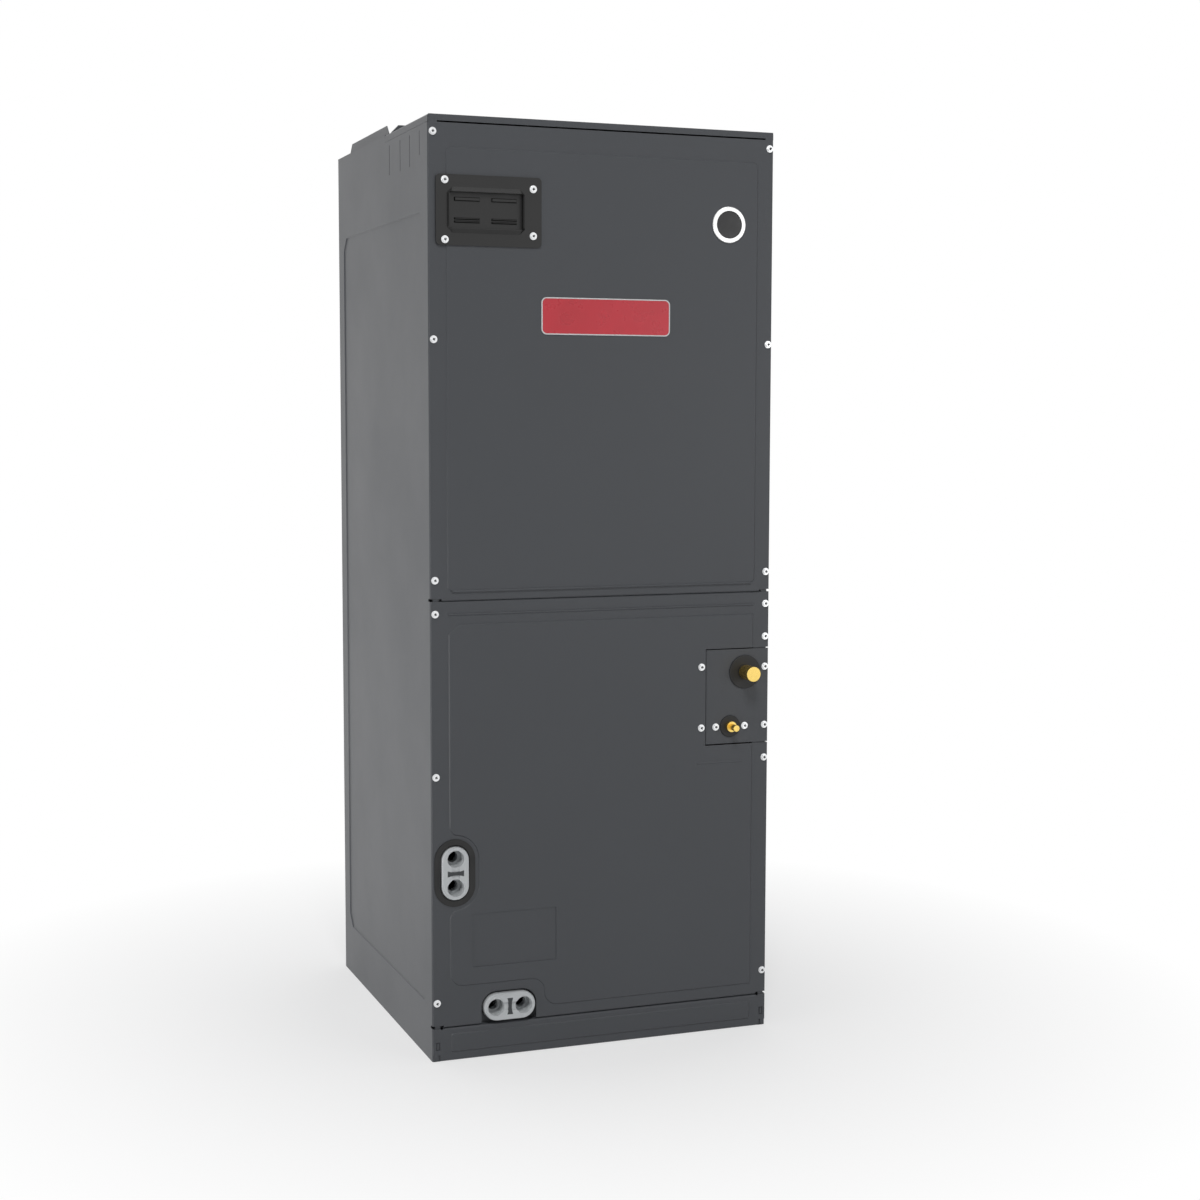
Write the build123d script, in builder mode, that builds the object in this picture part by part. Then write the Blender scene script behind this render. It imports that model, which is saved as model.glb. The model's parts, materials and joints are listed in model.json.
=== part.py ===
"""Upright air handler: a painted steel cabinet that holds a filter, an A-shaped coil and a blower.

Millimetres, Z up, the front faces -Y. The origin lies on the floor, in the middle of the
space that the cabinet and its line stubs take up.
"""
from build123d import *
from math import asin, atan2, cos, pi, sin, tan
import os

# Cabinet
CABINET_WIDTH = 533.4
CABINET_DEPTH = 548.0
FILTER_SECTION = 49.4
COIL_SECTION = 625.4
BLOWER_SECTION = 425.2
PLENUM_SECTION = 260.0
SHEET = 1.2
FOLD = 2.7
FRONT_FLANGE = 25.0
REAR_FLANGE = 15.0
FILTER_MOUTH_FLANGE = 12.0
INSULATION = 12.0
SEAT_GAP = 0.3

# Pressed fields and ridges in the sheet
EMBOSS = 1.5
EMBOSS_TAPER = 45.0
FIELD_CORNER = 8.0
RIDGE_WIDTH = 3.4
RIDGE_HEIGHT = 1.4
SIDE_FIELD_FRONT = 26.5
SIDE_FIELD_REAR = 36.0
SIDE_FIELD_BOTTOM = 80.5
SIDE_FIELD_TOP_DROP = 132.0
SIDE_FIELD_CORNER = 20.0
SIDE_RIB_DEPTHS = (44.0, 97.0, 150.0, 212.0)
SIDE_RIB_DROPS = (52.0, 63.0, 63.0, 62.0)
SIDE_RIB_TOP_DROP = 18.0
SIDE_RIB_WIDTH = 2.0
SIDE_RIB_DEPTH = 0.4
BACK_FIELD_INSET = 40.0

# Top panel and supply collar
CAP_LEG = 10.5
CAP_LEG_LENGTH = 237.0
CAP_FRONT_FLANGE = 8.0
DUCT_INSET = 12.7
DUCT_REAR_MARGIN = 40.0
DUCT_LENGTH = 250.0
DUCT_FLANGE = 19.0
DUCT_CORNER = 12.0
DUCT_SLIT = 1.5
KNOCKOUT_RADII = (11.1, 14.3)
KNOCKOUT_INSETS = (60.0, 110.0)
KNOCKOUT_DEPTH = 90.0
KNOCKOUT_GROOVE = 0.4
KNOCKOUT_GROOVE_WIDTH = 1.0

# Removable front panels
PANEL_EDGE = 1.0
PANEL_RETURN = 12.0
RETURN_INSET = 16.7
SEAM_GAP = 0.3
DOOR_SEAM_GAP = 0.9
EAR_RELIEF = 3.5
CORNER_NOTCH = 4.0
CORNER_NOTCH_REACH = 10.0
RELIEF_HOLE_INSET = 14.1
RELIEF_HOLE_RADIUS = 1.75
PANEL_LINER_MARGIN = 4.0

# Upper panel
SLOT_DROP = 10.0
SLOT_HEIGHT = 2.2
SLOT_INSET = 13.4
UPPER_FIELD_INSET = 25.1
UPPER_FIELD_DROP = 45.0
UPPER_RIDGE_RISE = 14.2
UPPER_RIDGE_INSET = 32.0
PLATE_INSET = 10.1
PLATE_DROP = 82.6
PLATE_WIDTH = 156.7
PLATE_HEIGHT = 98.6
PLATE_THICKNESS = 2.0
PLATE_CORNER = 6.0
PLATE_PAD_INSET = 1.0
WINDOW_WIDTH = 115.4
WINDOW_HEIGHT = 64.3
WINDOW_CORNER = 8.0
WINDOW_RISE = 4.0
WINDOW_SIDE_BEVEL = 2.2
WINDOW_TOP_BEVEL = 6.0
WINDOW_RIM = 1.0
WINDOW_RECESS = 7.0
WINDOW_SHIFT = 4.4
WINDOW_WALL = 1.5
WINDOW_PLAY = 1.0
COVER_SCREW_LEFT = 12.9
COVER_SCREW_LEFT_RISE = 41.5
COVER_SCREW_RIGHT = 12.8
COVER_SCREW_RIGHT_RISE = 33.0
BLANK_WIDTH = 38.0
BLANK_PITCH = 55.0
BLANK_TOP_BAR = 5.7
BLANK_LOW_BAR = 3.0
BLANK_BAR_RISE = 2.4
BLANK_BAR_TAPER = 25.0
BLANK_TOP_OFFSET = 15.6
BLANK_LOW_OFFSETS = (-11.6, -16.0)
SIGHT_GLASS_INSET = 73.1
SIGHT_GLASS_DROP = 138.0
SIGHT_GLASS_RADIUS = 26.5
SIGHT_LENS_RADIUS = 20.3
SIGHT_BEZEL_RISE = 3.2
SIGHT_SLEEVE = 1.8
SIGHT_SLEEVE_LENGTH = 8.0
SIGHT_CHAMFER = 0.8
SIGHT_LENS_THICKNESS = 2.4
BADGE_WIDTH = 199.5
BADGE_HEIGHT = 53.3
BADGE_DROP = 250.4
BADGE_RIM_THICKNESS = 1.6
BADGE_PLATE_THICKNESS = 1.2
BADGE_CORNER = 8.0
BADGE_RIM = 1.6

# Lower panel
LOWER_FIELD_INSET = 26.5
LOWER_FIELD_DROP = 32.8
LOWER_FIELD_RISE = 18.3
LOWER_FIELD_CHAMFER = 15.0
LOWER_RIDGE_DROP = 19.1
LOWER_RIDGE_INSET = 26.8
SHORT_RIDGE_DROP = 28.1
SHORT_RIDGE_INSET = 44.5
SHORT_RIDGE_LENGTH = 73.0
LABEL_WIDTH = 129.4
LABEL_HEIGHT = 79.2
LABEL_INSET = 60.6
LABEL_BOTTOM = 136.6
LABEL_DEPTH = 1.0
PORT_BAY_MARGIN = 31.0
PORT_BAY_CORNER = 14.0
ARCH_CLEARANCE = 3.1
ARCH_BAY_MARGIN = 12.5
ARCH_BAY_CORNER = 20.0

# Screws
SCREW_INSET = 6.7
SCREW_WASHER_RADIUS = 5.4
SCREW_WASHER = 1.3
SCREW_HEX_RADIUS = 4.3
SCREW_HEX_HEIGHT = 2.6
SCREW_RECESS_RADIUS = 2.1
SCREW_RECESS_DEPTH = 1.6
SCREW_SHANK_RADIUS = 2.1
SCREW_HOLE_RADIUS = 2.6
SCREW_LENGTH = 9.0
UPPER_SCREW_DROPS = (24.0, 313.0)
UPPER_SCREW_RISE = 30.4
LOWER_SCREW_DROP = 18.2
FOOT_SCREW_HEIGHT = 87.5
MIDDLE_SCREW_DROP = 24.3

# Line connection plate and stubs
TUBING_PLATE_WIDTH = 102.2
TUBING_PLATE_BELOW = 26.2
TUBING_PLATE_ABOVE = 35.3
TUBING_PLATE_GAP = 1.6
TUBING_PLATE_LAP = 16.0
TUBING_PLATE_WELD = 10.0
SUCTION_INSET = 39.8
SUCTION_DROP = 121.6
SUCTION_RADIUS = 11.1
SUCTION_TUBE_RADIUS = 9.53
STUB_REACH = 33.0
STUB_SHOULDER = 4.0
LIQUID_INSET = 63.7
LIQUID_DROP = 82.2
LIQUID_SCREW_PITCH = 23.9
PLATE_EDGE_SCREW_DROP = 25.0
PLATE_SIDE_SCREW_DROP = 28.0
LIQUID_RADIUS = 4.76
LIQUID_FERRULE_RADIUS = 7.9
LIQUID_FERRULE_REACH = 8.0
LIQUID_REACH = 25.0
SUCTION_GROMMET_RADIUS = 25.6
LIQUID_GROMMET_RADIUS = 16.5
GROMMET_LIP = 2.4
GROMMET_BACK_LIP = 2.5
GROMMET_EDGE = 1.2
SUCTION_NECK = 18.0
LIQUID_NECK = 11.0
GROMMET_BORE_GAP = 0.05
LINE_DEPTH = 45.0
LINE_BEND = 26.0

# Drain ports, one on each pan
PORT_LENGTH = 78.5
PORT_WIDTH = 40.6
PORT_HOLE_PITCH = 42.6
PORT_HOLE_RADIUS = 12.6
PORT_HOLE_DEPTH = 19.0
PORT_DRAIN_RADIUS = 8.0
PORT_PROUD = 6.0
PORT_EDGE = 2.0
PORT_EDGE_TAPER = 30.0
PORT_WEB_DEPTH = 2.0
PORT_WEB_WIDTH = 12.0
PORT_CLEARANCE = 2.0
SIDE_PORT_INSET = 34.4
SIDE_PORT_HEIGHT = 278.6
FLOOR_PORT_INSET = 116.7
FLOOR_PORT_HEIGHT = 74.0
GASKET_BAND = 8.6
GASKET_THICKNESS = 1.6
GASKET_GAP = 1.8
GASKET_TUCK = 2.0

# Rails inside the cabinet
RAIL_DEPTH = 14.0
RAIL_FLANGE = 22.0
CENTER_RAIL_HEIGHT = 44.0
SILL_BOTTOM = 34.0
SILL_TOP = 107.0
SUPPORT_LEG = 26.0
LINER_START = 42.0
DECK_FRONT = 30.0
DECK_FLANGE = 20.0

# Filter and its rails
FILTER_SIDE_INSET = 19.2
FILTER_REAR_INSET = 47.0
FILTER_THICKNESS = 19.0
FILTER_FRAME = 16.0
FILTER_BOARD = 1.6
FILTER_BASE = 11.0
FILTER_FRONT = 6.0
FILTER_PLEATS = 22
FILTER_PLEAT_SHEET = 2.4
FILTER_LIP = 14.0
FILTER_PLAY = 0.5
RETURN_MARGIN = 32.0
BASE_FLANGE = 33.0

# Filter door
DOOR_FLOOR_GAP = 0.8
DOOR_FIELD_INSET = 27.5
DOOR_FIELD_BOTTOM = 12.5
DOOR_FIELD_TOP = 40.5
TAB_SLOT_INSET = 4.5
TAB_SLOT_WIDTH = 6.8
TAB_SLOT_BOTTOM = 17.0
TAB_SLOT_TOP = 28.7
TAB_WIDTH = 2.4
TAB_CLEARANCE = 1.5
FOOT_NOTCH_HEIGHT = 9.4
FOOT_NOTCH_WIDTH = 3.0
FOOT_INSET = 1.5
DOOR_FIELD_CORNER = 3.0

# Drain pans
PAN_WALL = 3.0
FLOOR_PAN_BASE = 50.0
FLOOR_PAN_HEIGHT = 48.0
FLOOR_PAN_FRONT = 22.0
FLOOR_PAN_SIDE_GAP = 8.0
FLOOR_PAN_REAR_GAP = 6.0
FLOOR_PAN_CHANNEL = 122.0
FLOOR_PAN_RIM = 30.0
SIDE_PAN_REACH = 46.0
SIDE_PAN_BOTTOM = 150.0
SIDE_PAN_TOP_DROP = 70.0
SIDE_PAN_FRONT = 22.0
SIDE_PAN_REAR_GAP = 20.0

# Coil
COIL_FRONT = 92.0
COIL_REAR_GAP = 30.0
SLAB_THICKNESS = 44.0
SLAB_FOOT_INSET = 88.0
SLAB_APEX = 30.0
SLAB_TOP_DROP = 40.0
FIN_PITCH = 10.0
FIN_GROOVE = 4.0
FIN_GROOVE_DEPTH = 5.0
TUBE_SHEET_LIP = 3.0
COIL_TUBE_RADIUS = 4.76
RETURN_BEND_RADIUS = 12.7
RETURN_BENDS = 6
ROW_OFFSET = 11.0
HEADER_START = 90.0
HEADER_END = 60.0
FEEDER_COUNT = 4
CAP_SKIRT = 14.0
BAFFLE_GAP = 0.5

# Expansion valve and distributor
VALVE_INSET = 53.0
VALVE_BODY = 20.0
VALVE_CORNER = 2.0
VALVE_HEAD_RADIUS = 19.0
VALVE_HEAD_HEIGHT = 12.0
VALVE_HEAD_CHAMFER = 4.0
VALVE_NECK_RADIUS = 7.0
VALVE_NECK = 6.0
DISTRIBUTOR_DROP = 46.0
DISTRIBUTOR_RADIUS = 11.0
DISTRIBUTOR_NECK_RADIUS = 5.0
DISTRIBUTOR_CONE = 12.0
DISTRIBUTOR_CUP = 8.0
CAPILLARY_RADIUS = 2.4
CAPILLARY_BEND = 11.0
CAPILLARY_OFFSET = 5.0
CAPILLARY_FALL = 60.0
CAPILLARY_FRONT = 24.0
CAPILLARY_DROP = 12.0
CAPILLARY_SLANT = 28.0

# Blower
WHEEL_RADIUS = 127.0
WHEEL_WIDTH = 230.0
BLADE_INNER_RADIUS = 104.0
BLADE_COUNT = 36
BLADE_THICKNESS = 1.4
BLADE_LEAN = 9.0
BLADE_BULGE = 4.2
WHEEL_RING = 4.0
WHEEL_PLATE = 2.0
HUB_RADIUS = 18.0
HUB_LENGTH = 36.0
HUB_FLANGE_RADIUS = 32.0
HUB_FLANGE = 3.0
WHEEL_RING_INNER = 121.0
BLADE_OUTER_RADIUS = 126.0
SHAFT_RADIUS = 6.35
SCROLL_START_GAP = 14.0
SCROLL_GROWTH = 47.0
SCROLL_STEPS = 8
HOUSING_EDGE = 4.0
HOUSING_SIDE_GAP = 9.0
CUTOFF_LEAN = 52.0
CUTOFF_NOSE = 9.0
CUTOFF_LIP = 17.0
CUTOFF_GAP = 0.5
OUTLET_RISE = 45.0
OUTLET_REAR_GAP = 6.0
INLET_RADIUS = 108.0
INLET_THROAT = 98.0
INLET_FLANGE = 10.0
INLET_REACH = 12.0
INLET_FLARE = 8.0

# Motor
MOTOR_RADIUS = 70.0
MOTOR_START = 24.0
MOTOR_LENGTH = 128.0
END_BELL = 12.0
END_BELL_RADIUS = 62.0
MOTOR_BAND = 24.0
MOTOR_BAND_THICKNESS = 1.6
ARM_WIDTH = 16.0
ARM_THICKNESS = 2.5
ARM_REACH = 134.0
ARM_COUNT = 3
ARM_FOOT = 14.0
RUNNING_GAP = 0.05
SHAFT_IN_MOTOR = 20.0
SHAFT_PAST_HUB = 4.0
SHAFT_CHAMFER = 0.8
SHAFT_END_ROOM = 1.0
VENT_COUNT = 8
VENT_LENGTH = 26.0
VENT_WIDTH = 8.0
VENT_RING = 42.0
VENT_DEPTH = 3.0

# Plenum and controls
PLENUM_FRONT_GAP = 6.0
HEATER_PLATE_WIDTH = 330.0
HEATER_PLATE_HEIGHT = 150.0
HEATER_PLATE_LAP = 12.0
HEATER_PLATE_RISE = 50.0
BOX_INSET = 34.0
BOX_WIDTH = 205.0
BOX_HEIGHT = 205.0
BOX_FRONT = 36.0
BOX_DEPTH = 74.0
BOARD_WIDTH = 110.0
BOARD_HEIGHT = 90.0
BOARD_THICKNESS = 1.6
BOARD_STANDOFF = 8.0
BOARD_STANDOFF_RADIUS = 3.0
RELAY_SHIFTS = (-34.0, 0.0, 34.0)
RELAY_WIDTH = 20.0
RELAY_HEIGHT = 16.0
TRANSFORMER_WIDTH = 66.0
TRANSFORMER_HEIGHT = 54.0
TRANSFORMER_DEPTH = 48.0
WINDING_WIDTH = 46.0
WINDING_HEIGHT = 43.0
WINDING_CORNER = 4.0
TERMINAL_WIDTH = 60.0
TERMINAL_HEIGHT = 34.0
TERMINAL_DEPTH = 30.0
TERMINAL_POLES = 3
TERMINAL_POLE_DEPTH = 10.0

# Places worked out from the sizes above
half_width = CABINET_WIDTH / 2
seam_z = FILTER_SECTION + COIL_SECTION
deck_z = seam_z + BLOWER_SECTION
top_z = deck_z + PLENUM_SECTION
y_front = STUB_REACH - (CABINET_DEPTH + STUB_REACH) / 2
y_back = y_front + CABINET_DEPTH
flange_front = SHEET + SEAT_GAP
flange_back = flange_front + SHEET
web_inside = half_width - SHEET
field_inside = web_inside - EMBOSS
room_half = field_inside - INSULATION
panel_half = half_width - PANEL_EDGE
return_half = half_width - RETURN_INSET
screw_x = half_width - SCREW_INSET
back_inside = CABINET_DEPTH - 2 * SHEET
rear_face = back_inside - EMBOSS
fold_room = FOLD - SHEET
room_rear = rear_face - INSULATION
relief_x = half_width - RELIEF_HOLE_INSET
floor_port_x = -half_width + FLOOR_PORT_INSET
side_port_x = -half_width + SIDE_PORT_INSET
duct_half = half_width - DUCT_INSET
duct_rear = CABINET_DEPTH - DUCT_REAR_MARGIN
duct_front = duct_rear - DUCT_LENGTH
plenum_depth = duct_front - PLENUM_FRONT_GAP


def deep(distance):
    """Y of a point that lies this far behind the front plane."""
    return y_front + distance


def at_x(x):
    """Upright plane across X: it draws in Y and Z, and extrudes to the right."""
    return Plane.YZ.offset(x)


def at_y(y):
    """Upright plane across Y: it draws in X and Z, and extrudes to the front."""
    return Plane.XZ.offset(-y)


def at_z(z):
    """Level plane: it draws in X and Y, and extrudes upwards."""
    return Plane.XY.offset(z)


def span(x0, x1, y0, y1, mode=Mode.ADD):
    """Rectangle between two corners of the sketch plane."""
    with Locations(((x0 + x1) / 2, (y0 + y1) / 2)):
        Rectangle(abs(x1 - x0), abs(y1 - y0), mode=mode)


def stadium(x, y, length, width, turn=0, mode=Mode.ADD):
    """Slot outline with round ends, lying along X unless it is turned."""
    with Locations((x, y)):
        SlotOverall(length, width, rotation=turn, mode=mode)


def save(name, part):
    """Label a finished piece and write its file."""
    part.label = name
    export_step(part, f"parts/{name}.step")


def ridges(levels, reach, surface_y, rise, centre=0.0):
    """Half-round ridges that run along X on the front of a panel."""
    with BuildSketch(at_x(centre - reach)) as profile:
        for level in levels:
            with BuildLine():
                ThreePointArc((surface_y, level - RIDGE_WIDTH / 2), (surface_y - rise, level),
                              (surface_y, level + RIDGE_WIDTH / 2))
                Line((surface_y, level + RIDGE_WIDTH / 2), (surface_y, level - RIDGE_WIDTH / 2))
            make_face()
    extrude(profile.sketch, amount=2 * reach)


def raised_field(outline, sheet_front):
    """Press a field of a front panel outwards: the boss in front, then the hollow behind it."""
    extrude(Plane.XZ.offset(-sheet_front) * outline, amount=EMBOSS, taper=EMBOSS_TAPER)
    extrude(Plane.XZ.offset(-sheet_front - SHEET) * outline, amount=EMBOSS, taper=EMBOSS_TAPER,
            mode=Mode.SUBTRACT)


def front_screws(points, seat_y, length=SCREW_LENGTH):
    """Washer-faced screws that are driven in from the front, at (x, z) points."""
    with BuildSketch(at_y(seat_y)) as washers:
        with Locations(*points):
            Circle(SCREW_WASHER_RADIUS)
    extrude(washers.sketch, amount=SCREW_WASHER)
    with BuildSketch(at_y(seat_y - SCREW_WASHER)) as hexagons:
        with Locations(*points):
            RegularPolygon(SCREW_HEX_RADIUS, 6)
    extrude(hexagons.sketch, amount=SCREW_HEX_HEIGHT)
    with BuildSketch(at_y(seat_y - SCREW_WASHER - SCREW_HEX_HEIGHT)) as recesses:
        with Locations(*points):
            Circle(SCREW_RECESS_RADIUS)
    extrude(recesses.sketch, amount=-SCREW_RECESS_DEPTH, mode=Mode.SUBTRACT)
    with BuildSketch(at_y(seat_y)) as shanks:
        with Locations(*points):
            Circle(SCREW_SHANK_RADIUS)
    extrude(shanks.sketch, amount=-length)


def front_holes(points, radius, surface_y, depth):
    """Round holes cut inwards from a front surface, at (x, z) points."""
    with BuildSketch(at_y(surface_y)) as holes:
        with Locations(*points):
            Circle(radius)
    extrude(holes.sketch, amount=-depth, mode=Mode.SUBTRACT)


os.makedirs("parts", exist_ok=True)

# Screw places on the front, as (x, z)
upper_screw_levels = [top_z - drop for drop in UPPER_SCREW_DROPS] + [seam_z + UPPER_SCREW_RISE]
suction_z = seam_z - SUCTION_DROP
liquid_z = suction_z - LIQUID_DROP
plate_bottom = liquid_z - TUBING_PLATE_BELOW
plate_top = suction_z + TUBING_PLATE_ABOVE
lower_screw_levels = [seam_z - LOWER_SCREW_DROP, FOOT_SCREW_HEIGHT,
                      plate_bottom - MIDDLE_SCREW_DROP]
plate_left = panel_half - TUBING_PLATE_WIDTH
plate_screw_level = plate_top + LOWER_SCREW_DROP
suction_x = half_width - SUCTION_INSET
liquid_x = half_width - LIQUID_INSET
upper_screws_at = [(side * screw_x, level) for side in (-1, 1) for level in upper_screw_levels]
lower_screws_at = [(side * screw_x, level) for side in (-1, 1) for level in lower_screw_levels]
lower_screws_at += [(screw_x, plate_screw_level)]
plate_edge_screws_at = [(plate_left - TUBING_PLATE_LAP / 2 - TUBING_PLATE_GAP / 2, liquid_z),
                        (plate_left - TUBING_PLATE_LAP / 2 - TUBING_PLATE_GAP / 2,
                         plate_top - PLATE_EDGE_SCREW_DROP)]
plate_side_screws_at = [(screw_x, liquid_z), (screw_x, plate_top - PLATE_SIDE_SCREW_DROP)]
plate_line_screws_at = [(liquid_x - LIQUID_SCREW_PITCH, liquid_z),
                        (liquid_x + LIQUID_SCREW_PITCH, liquid_z)]

# Left side panel: a tall sheet with folded front and rear edges and a field pressed inwards
side_notch_levels = [seam_z + EAR_RELIEF / 2, FILTER_SECTION + EAR_RELIEF / 2]
tubing_notch_levels = [plate_bottom, plate_top]


def side_panel(notch_levels, screw_levels, opening):
    """The left-hand side panel, with holes and notches at the given levels and one opening."""
    with BuildPart() as panel:
        with BuildSketch(at_z(0)):
            with BuildLine():
                FilletPolyline((-half_width + FRONT_FLANGE, deep(flange_front)),
                               (-half_width, deep(flange_front)),
                               (-half_width, y_back),
                               (-half_width + REAR_FLANGE, y_back),
                               radius=FOLD)
                offset(amount=SHEET, side=Side.RIGHT)
            make_face()
        extrude(amount=top_z - SHEET)
        # The top panel's side leg lies flush in this step
        with BuildSketch(at_x(-half_width)):
            span(deep(0), deep(CAP_LEG_LENGTH + SEAT_GAP), top_z - CAP_LEG - SEAT_GAP, top_z)
        extrude(amount=FRONT_FLANGE, mode=Mode.SUBTRACT)
        # Wider mouth for the filter
        with BuildSketch(at_y(deep(flange_back))):
            span(-half_width + FILTER_MOUTH_FLANGE, 0, 0, FILTER_SECTION + EAR_RELIEF)
            # Room for the folded returns of the two access panels
            span(-relief_x, 0, seam_z - EAR_RELIEF, seam_z + EAR_RELIEF)
        extrude(amount=SHEET, mode=Mode.SUBTRACT)
        field_plane = at_x(-half_width + SHEET)
        with BuildSketch(mode=Mode.PRIVATE) as field:
            span(deep(SIDE_FIELD_FRONT), y_back - SIDE_FIELD_REAR,
                 SIDE_FIELD_BOTTOM, top_z - SIDE_FIELD_TOP_DROP)
            chamfer(field.vertices(), SIDE_FIELD_CORNER)
        extrude(field_plane * field.sketch, amount=EMBOSS, taper=EMBOSS_TAPER)
        extrude(at_x(-half_width) * field.sketch, amount=EMBOSS, taper=EMBOSS_TAPER,
                mode=Mode.SUBTRACT)
        # Short upright ribs under the cap leg
        for rib_depth, rib_drop in zip(SIDE_RIB_DEPTHS, SIDE_RIB_DROPS):
            with BuildSketch(at_x(-half_width)):
                span(deep(rib_depth) - SIDE_RIB_WIDTH / 2, deep(rib_depth) + SIDE_RIB_WIDTH / 2,
                     top_z - rib_drop, top_z - SIDE_RIB_TOP_DROP)
            extrude(amount=SIDE_RIB_DEPTH, mode=Mode.SUBTRACT)
        with BuildSketch(at_y(deep(CORNER_NOTCH_REACH))):
            with Locations(*[(-half_width, level) for level in notch_levels]):
                Rectangle(2 * CORNER_NOTCH, CORNER_NOTCH)
        extrude(amount=CORNER_NOTCH_REACH, mode=Mode.SUBTRACT)
        front_holes([(-screw_x, level) for level in screw_levels], SCREW_HOLE_RADIUS,
                    deep(flange_front), SHEET)
        front_holes([(-relief_x, seam_z), (-relief_x, FILTER_SECTION)], RELIEF_HOLE_RADIUS,
                    deep(flange_front), SHEET)
        extrude(at_y(deep(flange_back)) * opening, amount=SHEET, mode=Mode.SUBTRACT)
        # Hook for the filter door
        with BuildSketch(at_y(deep(flange_front))):
            tab_centre = -half_width + TAB_SLOT_INSET + TAB_SLOT_WIDTH / 2
            span(tab_centre - TAB_WIDTH / 2, tab_centre + TAB_WIDTH / 2,
                 TAB_SLOT_BOTTOM + TAB_CLEARANCE, TAB_SLOT_TOP - TAB_CLEARANCE)
        extrude(amount=flange_front)
    return panel.part


left_levels = upper_screw_levels + lower_screw_levels
right_levels = left_levels + [plate_screw_level] + [level for _, level in plate_side_screws_at]
with BuildSketch() as left_opening:
    stadium(side_port_x, SIDE_PORT_HEIGHT, PORT_LENGTH + 2 * PORT_CLEARANCE,
            PORT_WIDTH + 2 * PORT_CLEARANCE, 90)
with BuildSketch() as right_opening:
    with Locations((-suction_x, suction_z)):
        Circle(SUCTION_NECK + GROMMET_BACK_LIP + PORT_CLEARANCE)
left_side_panel = side_panel(side_notch_levels, left_levels, left_opening.sketch)
right_side_panel = side_panel(side_notch_levels + tubing_notch_levels, right_levels,
                              right_opening.sketch)
right_side_panel = right_side_panel.mirror(Plane.YZ)
save("left_side_panel", left_side_panel)
save("right_side_panel", right_side_panel)

# Back panel: it lies against the rear flanges from inside, with a pressed field
with BuildPart() as back_panel:
    with BuildSketch(at_y(deep(CABINET_DEPTH - SHEET))):
        span(-web_inside + fold_room, web_inside - fold_room, 0, top_z - SHEET)
    extrude(amount=SHEET)
    with BuildSketch(mode=Mode.PRIVATE) as back_field:
        span(-web_inside + BACK_FIELD_INSET, web_inside - BACK_FIELD_INSET,
             SIDE_FIELD_BOTTOM, top_z - SIDE_FIELD_TOP_DROP)
        chamfer(back_field.vertices(), SIDE_FIELD_CORNER)
    extrude(at_y(deep(back_inside)) * back_field.sketch, amount=EMBOSS, taper=EMBOSS_TAPER)
    extrude(at_y(deep(back_inside + SHEET)) * back_field.sketch, amount=EMBOSS, taper=EMBOSS_TAPER,
            mode=Mode.SUBTRACT)
save("back_panel", back_panel.part)

# Top panel: flush side legs, a flange behind the upper panel, and a collar round the supply
with BuildPart() as top_panel:
    with BuildSketch(at_y(deep(CAP_LEG_LENGTH))):
        with BuildLine():
            FilletPolyline((-half_width, top_z - CAP_LEG), (-half_width, top_z),
                           (half_width, top_z), (half_width, top_z - CAP_LEG), radius=FOLD)
            offset(amount=SHEET, side=Side.RIGHT)
        make_face()
    extrude(amount=CAP_LEG_LENGTH - flange_front)
    with BuildSketch(at_z(top_z - SHEET)):
        span(-half_width, half_width, deep(CAP_LEG_LENGTH), y_back)
    extrude(amount=SHEET)
    with BuildSketch(at_y(deep(flange_back))):
        span(-half_width + FRONT_FLANGE + SEAT_GAP, half_width - FRONT_FLANGE - SEAT_GAP,
             top_z - CAP_FRONT_FLANGE, top_z - SHEET)
    extrude(amount=SHEET)
    with BuildSketch(at_z(top_z)):
        span(-duct_half, duct_half, deep(duct_front), deep(duct_rear))
    extrude(amount=-SHEET, mode=Mode.SUBTRACT)
    for side in (-1, 1):
        with BuildSketch(at_x(side * (duct_half + SHEET / 2))) as side_collar:
            span(deep(duct_front + DUCT_SLIT), deep(duct_rear - DUCT_SLIT),
                 top_z - SHEET, top_z + DUCT_FLANGE)
            chamfer(side_collar.vertices().group_by(Axis.Y)[-1], DUCT_CORNER)
        extrude(amount=SHEET / 2, both=True)
    for collar_depth in (duct_front - SHEET, duct_rear):
        with BuildSketch(at_y(deep(collar_depth + SHEET))) as cross_collar:
            span(-duct_half + DUCT_SLIT, duct_half - DUCT_SLIT,
                 top_z - SHEET, top_z + DUCT_FLANGE)
            chamfer(cross_collar.vertices().group_by(Axis.Y)[-1], DUCT_CORNER)
        extrude(amount=SHEET)
    for inset, radius in zip(KNOCKOUT_INSETS, KNOCKOUT_RADII):
        with BuildSketch(at_z(top_z)):
            with Locations((-half_width + inset, deep(KNOCKOUT_DEPTH))):
                Circle(radius)
                Circle(radius - KNOCKOUT_GROOVE_WIDTH, mode=Mode.SUBTRACT)
        extrude(amount=-KNOCKOUT_GROOVE, mode=Mode.SUBTRACT)
save("top_panel", top_panel.part)

# Base frame: a folded tray with the return-air opening in its floor
return_half_width = web_inside - RETURN_MARGIN
with BuildPart() as base_frame:
    with BuildSketch(at_y(deep(back_inside - fold_room))):
        with BuildLine():
            FilletPolyline((-web_inside, BASE_FLANGE), (-web_inside, 0), (web_inside, 0),
                           (web_inside, BASE_FLANGE), radius=FOLD)
            offset(amount=SHEET, side=Side.LEFT)
        make_face()
    extrude(amount=back_inside - flange_back - 2 * fold_room)
    with BuildSketch(at_z(0)):
        span(-return_half_width, return_half_width,
             deep(flange_back + RETURN_MARGIN), deep(back_inside - RETURN_MARGIN))
    extrude(amount=SHEET, mode=Mode.SUBTRACT)
save("base_frame", base_frame.part)

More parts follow.
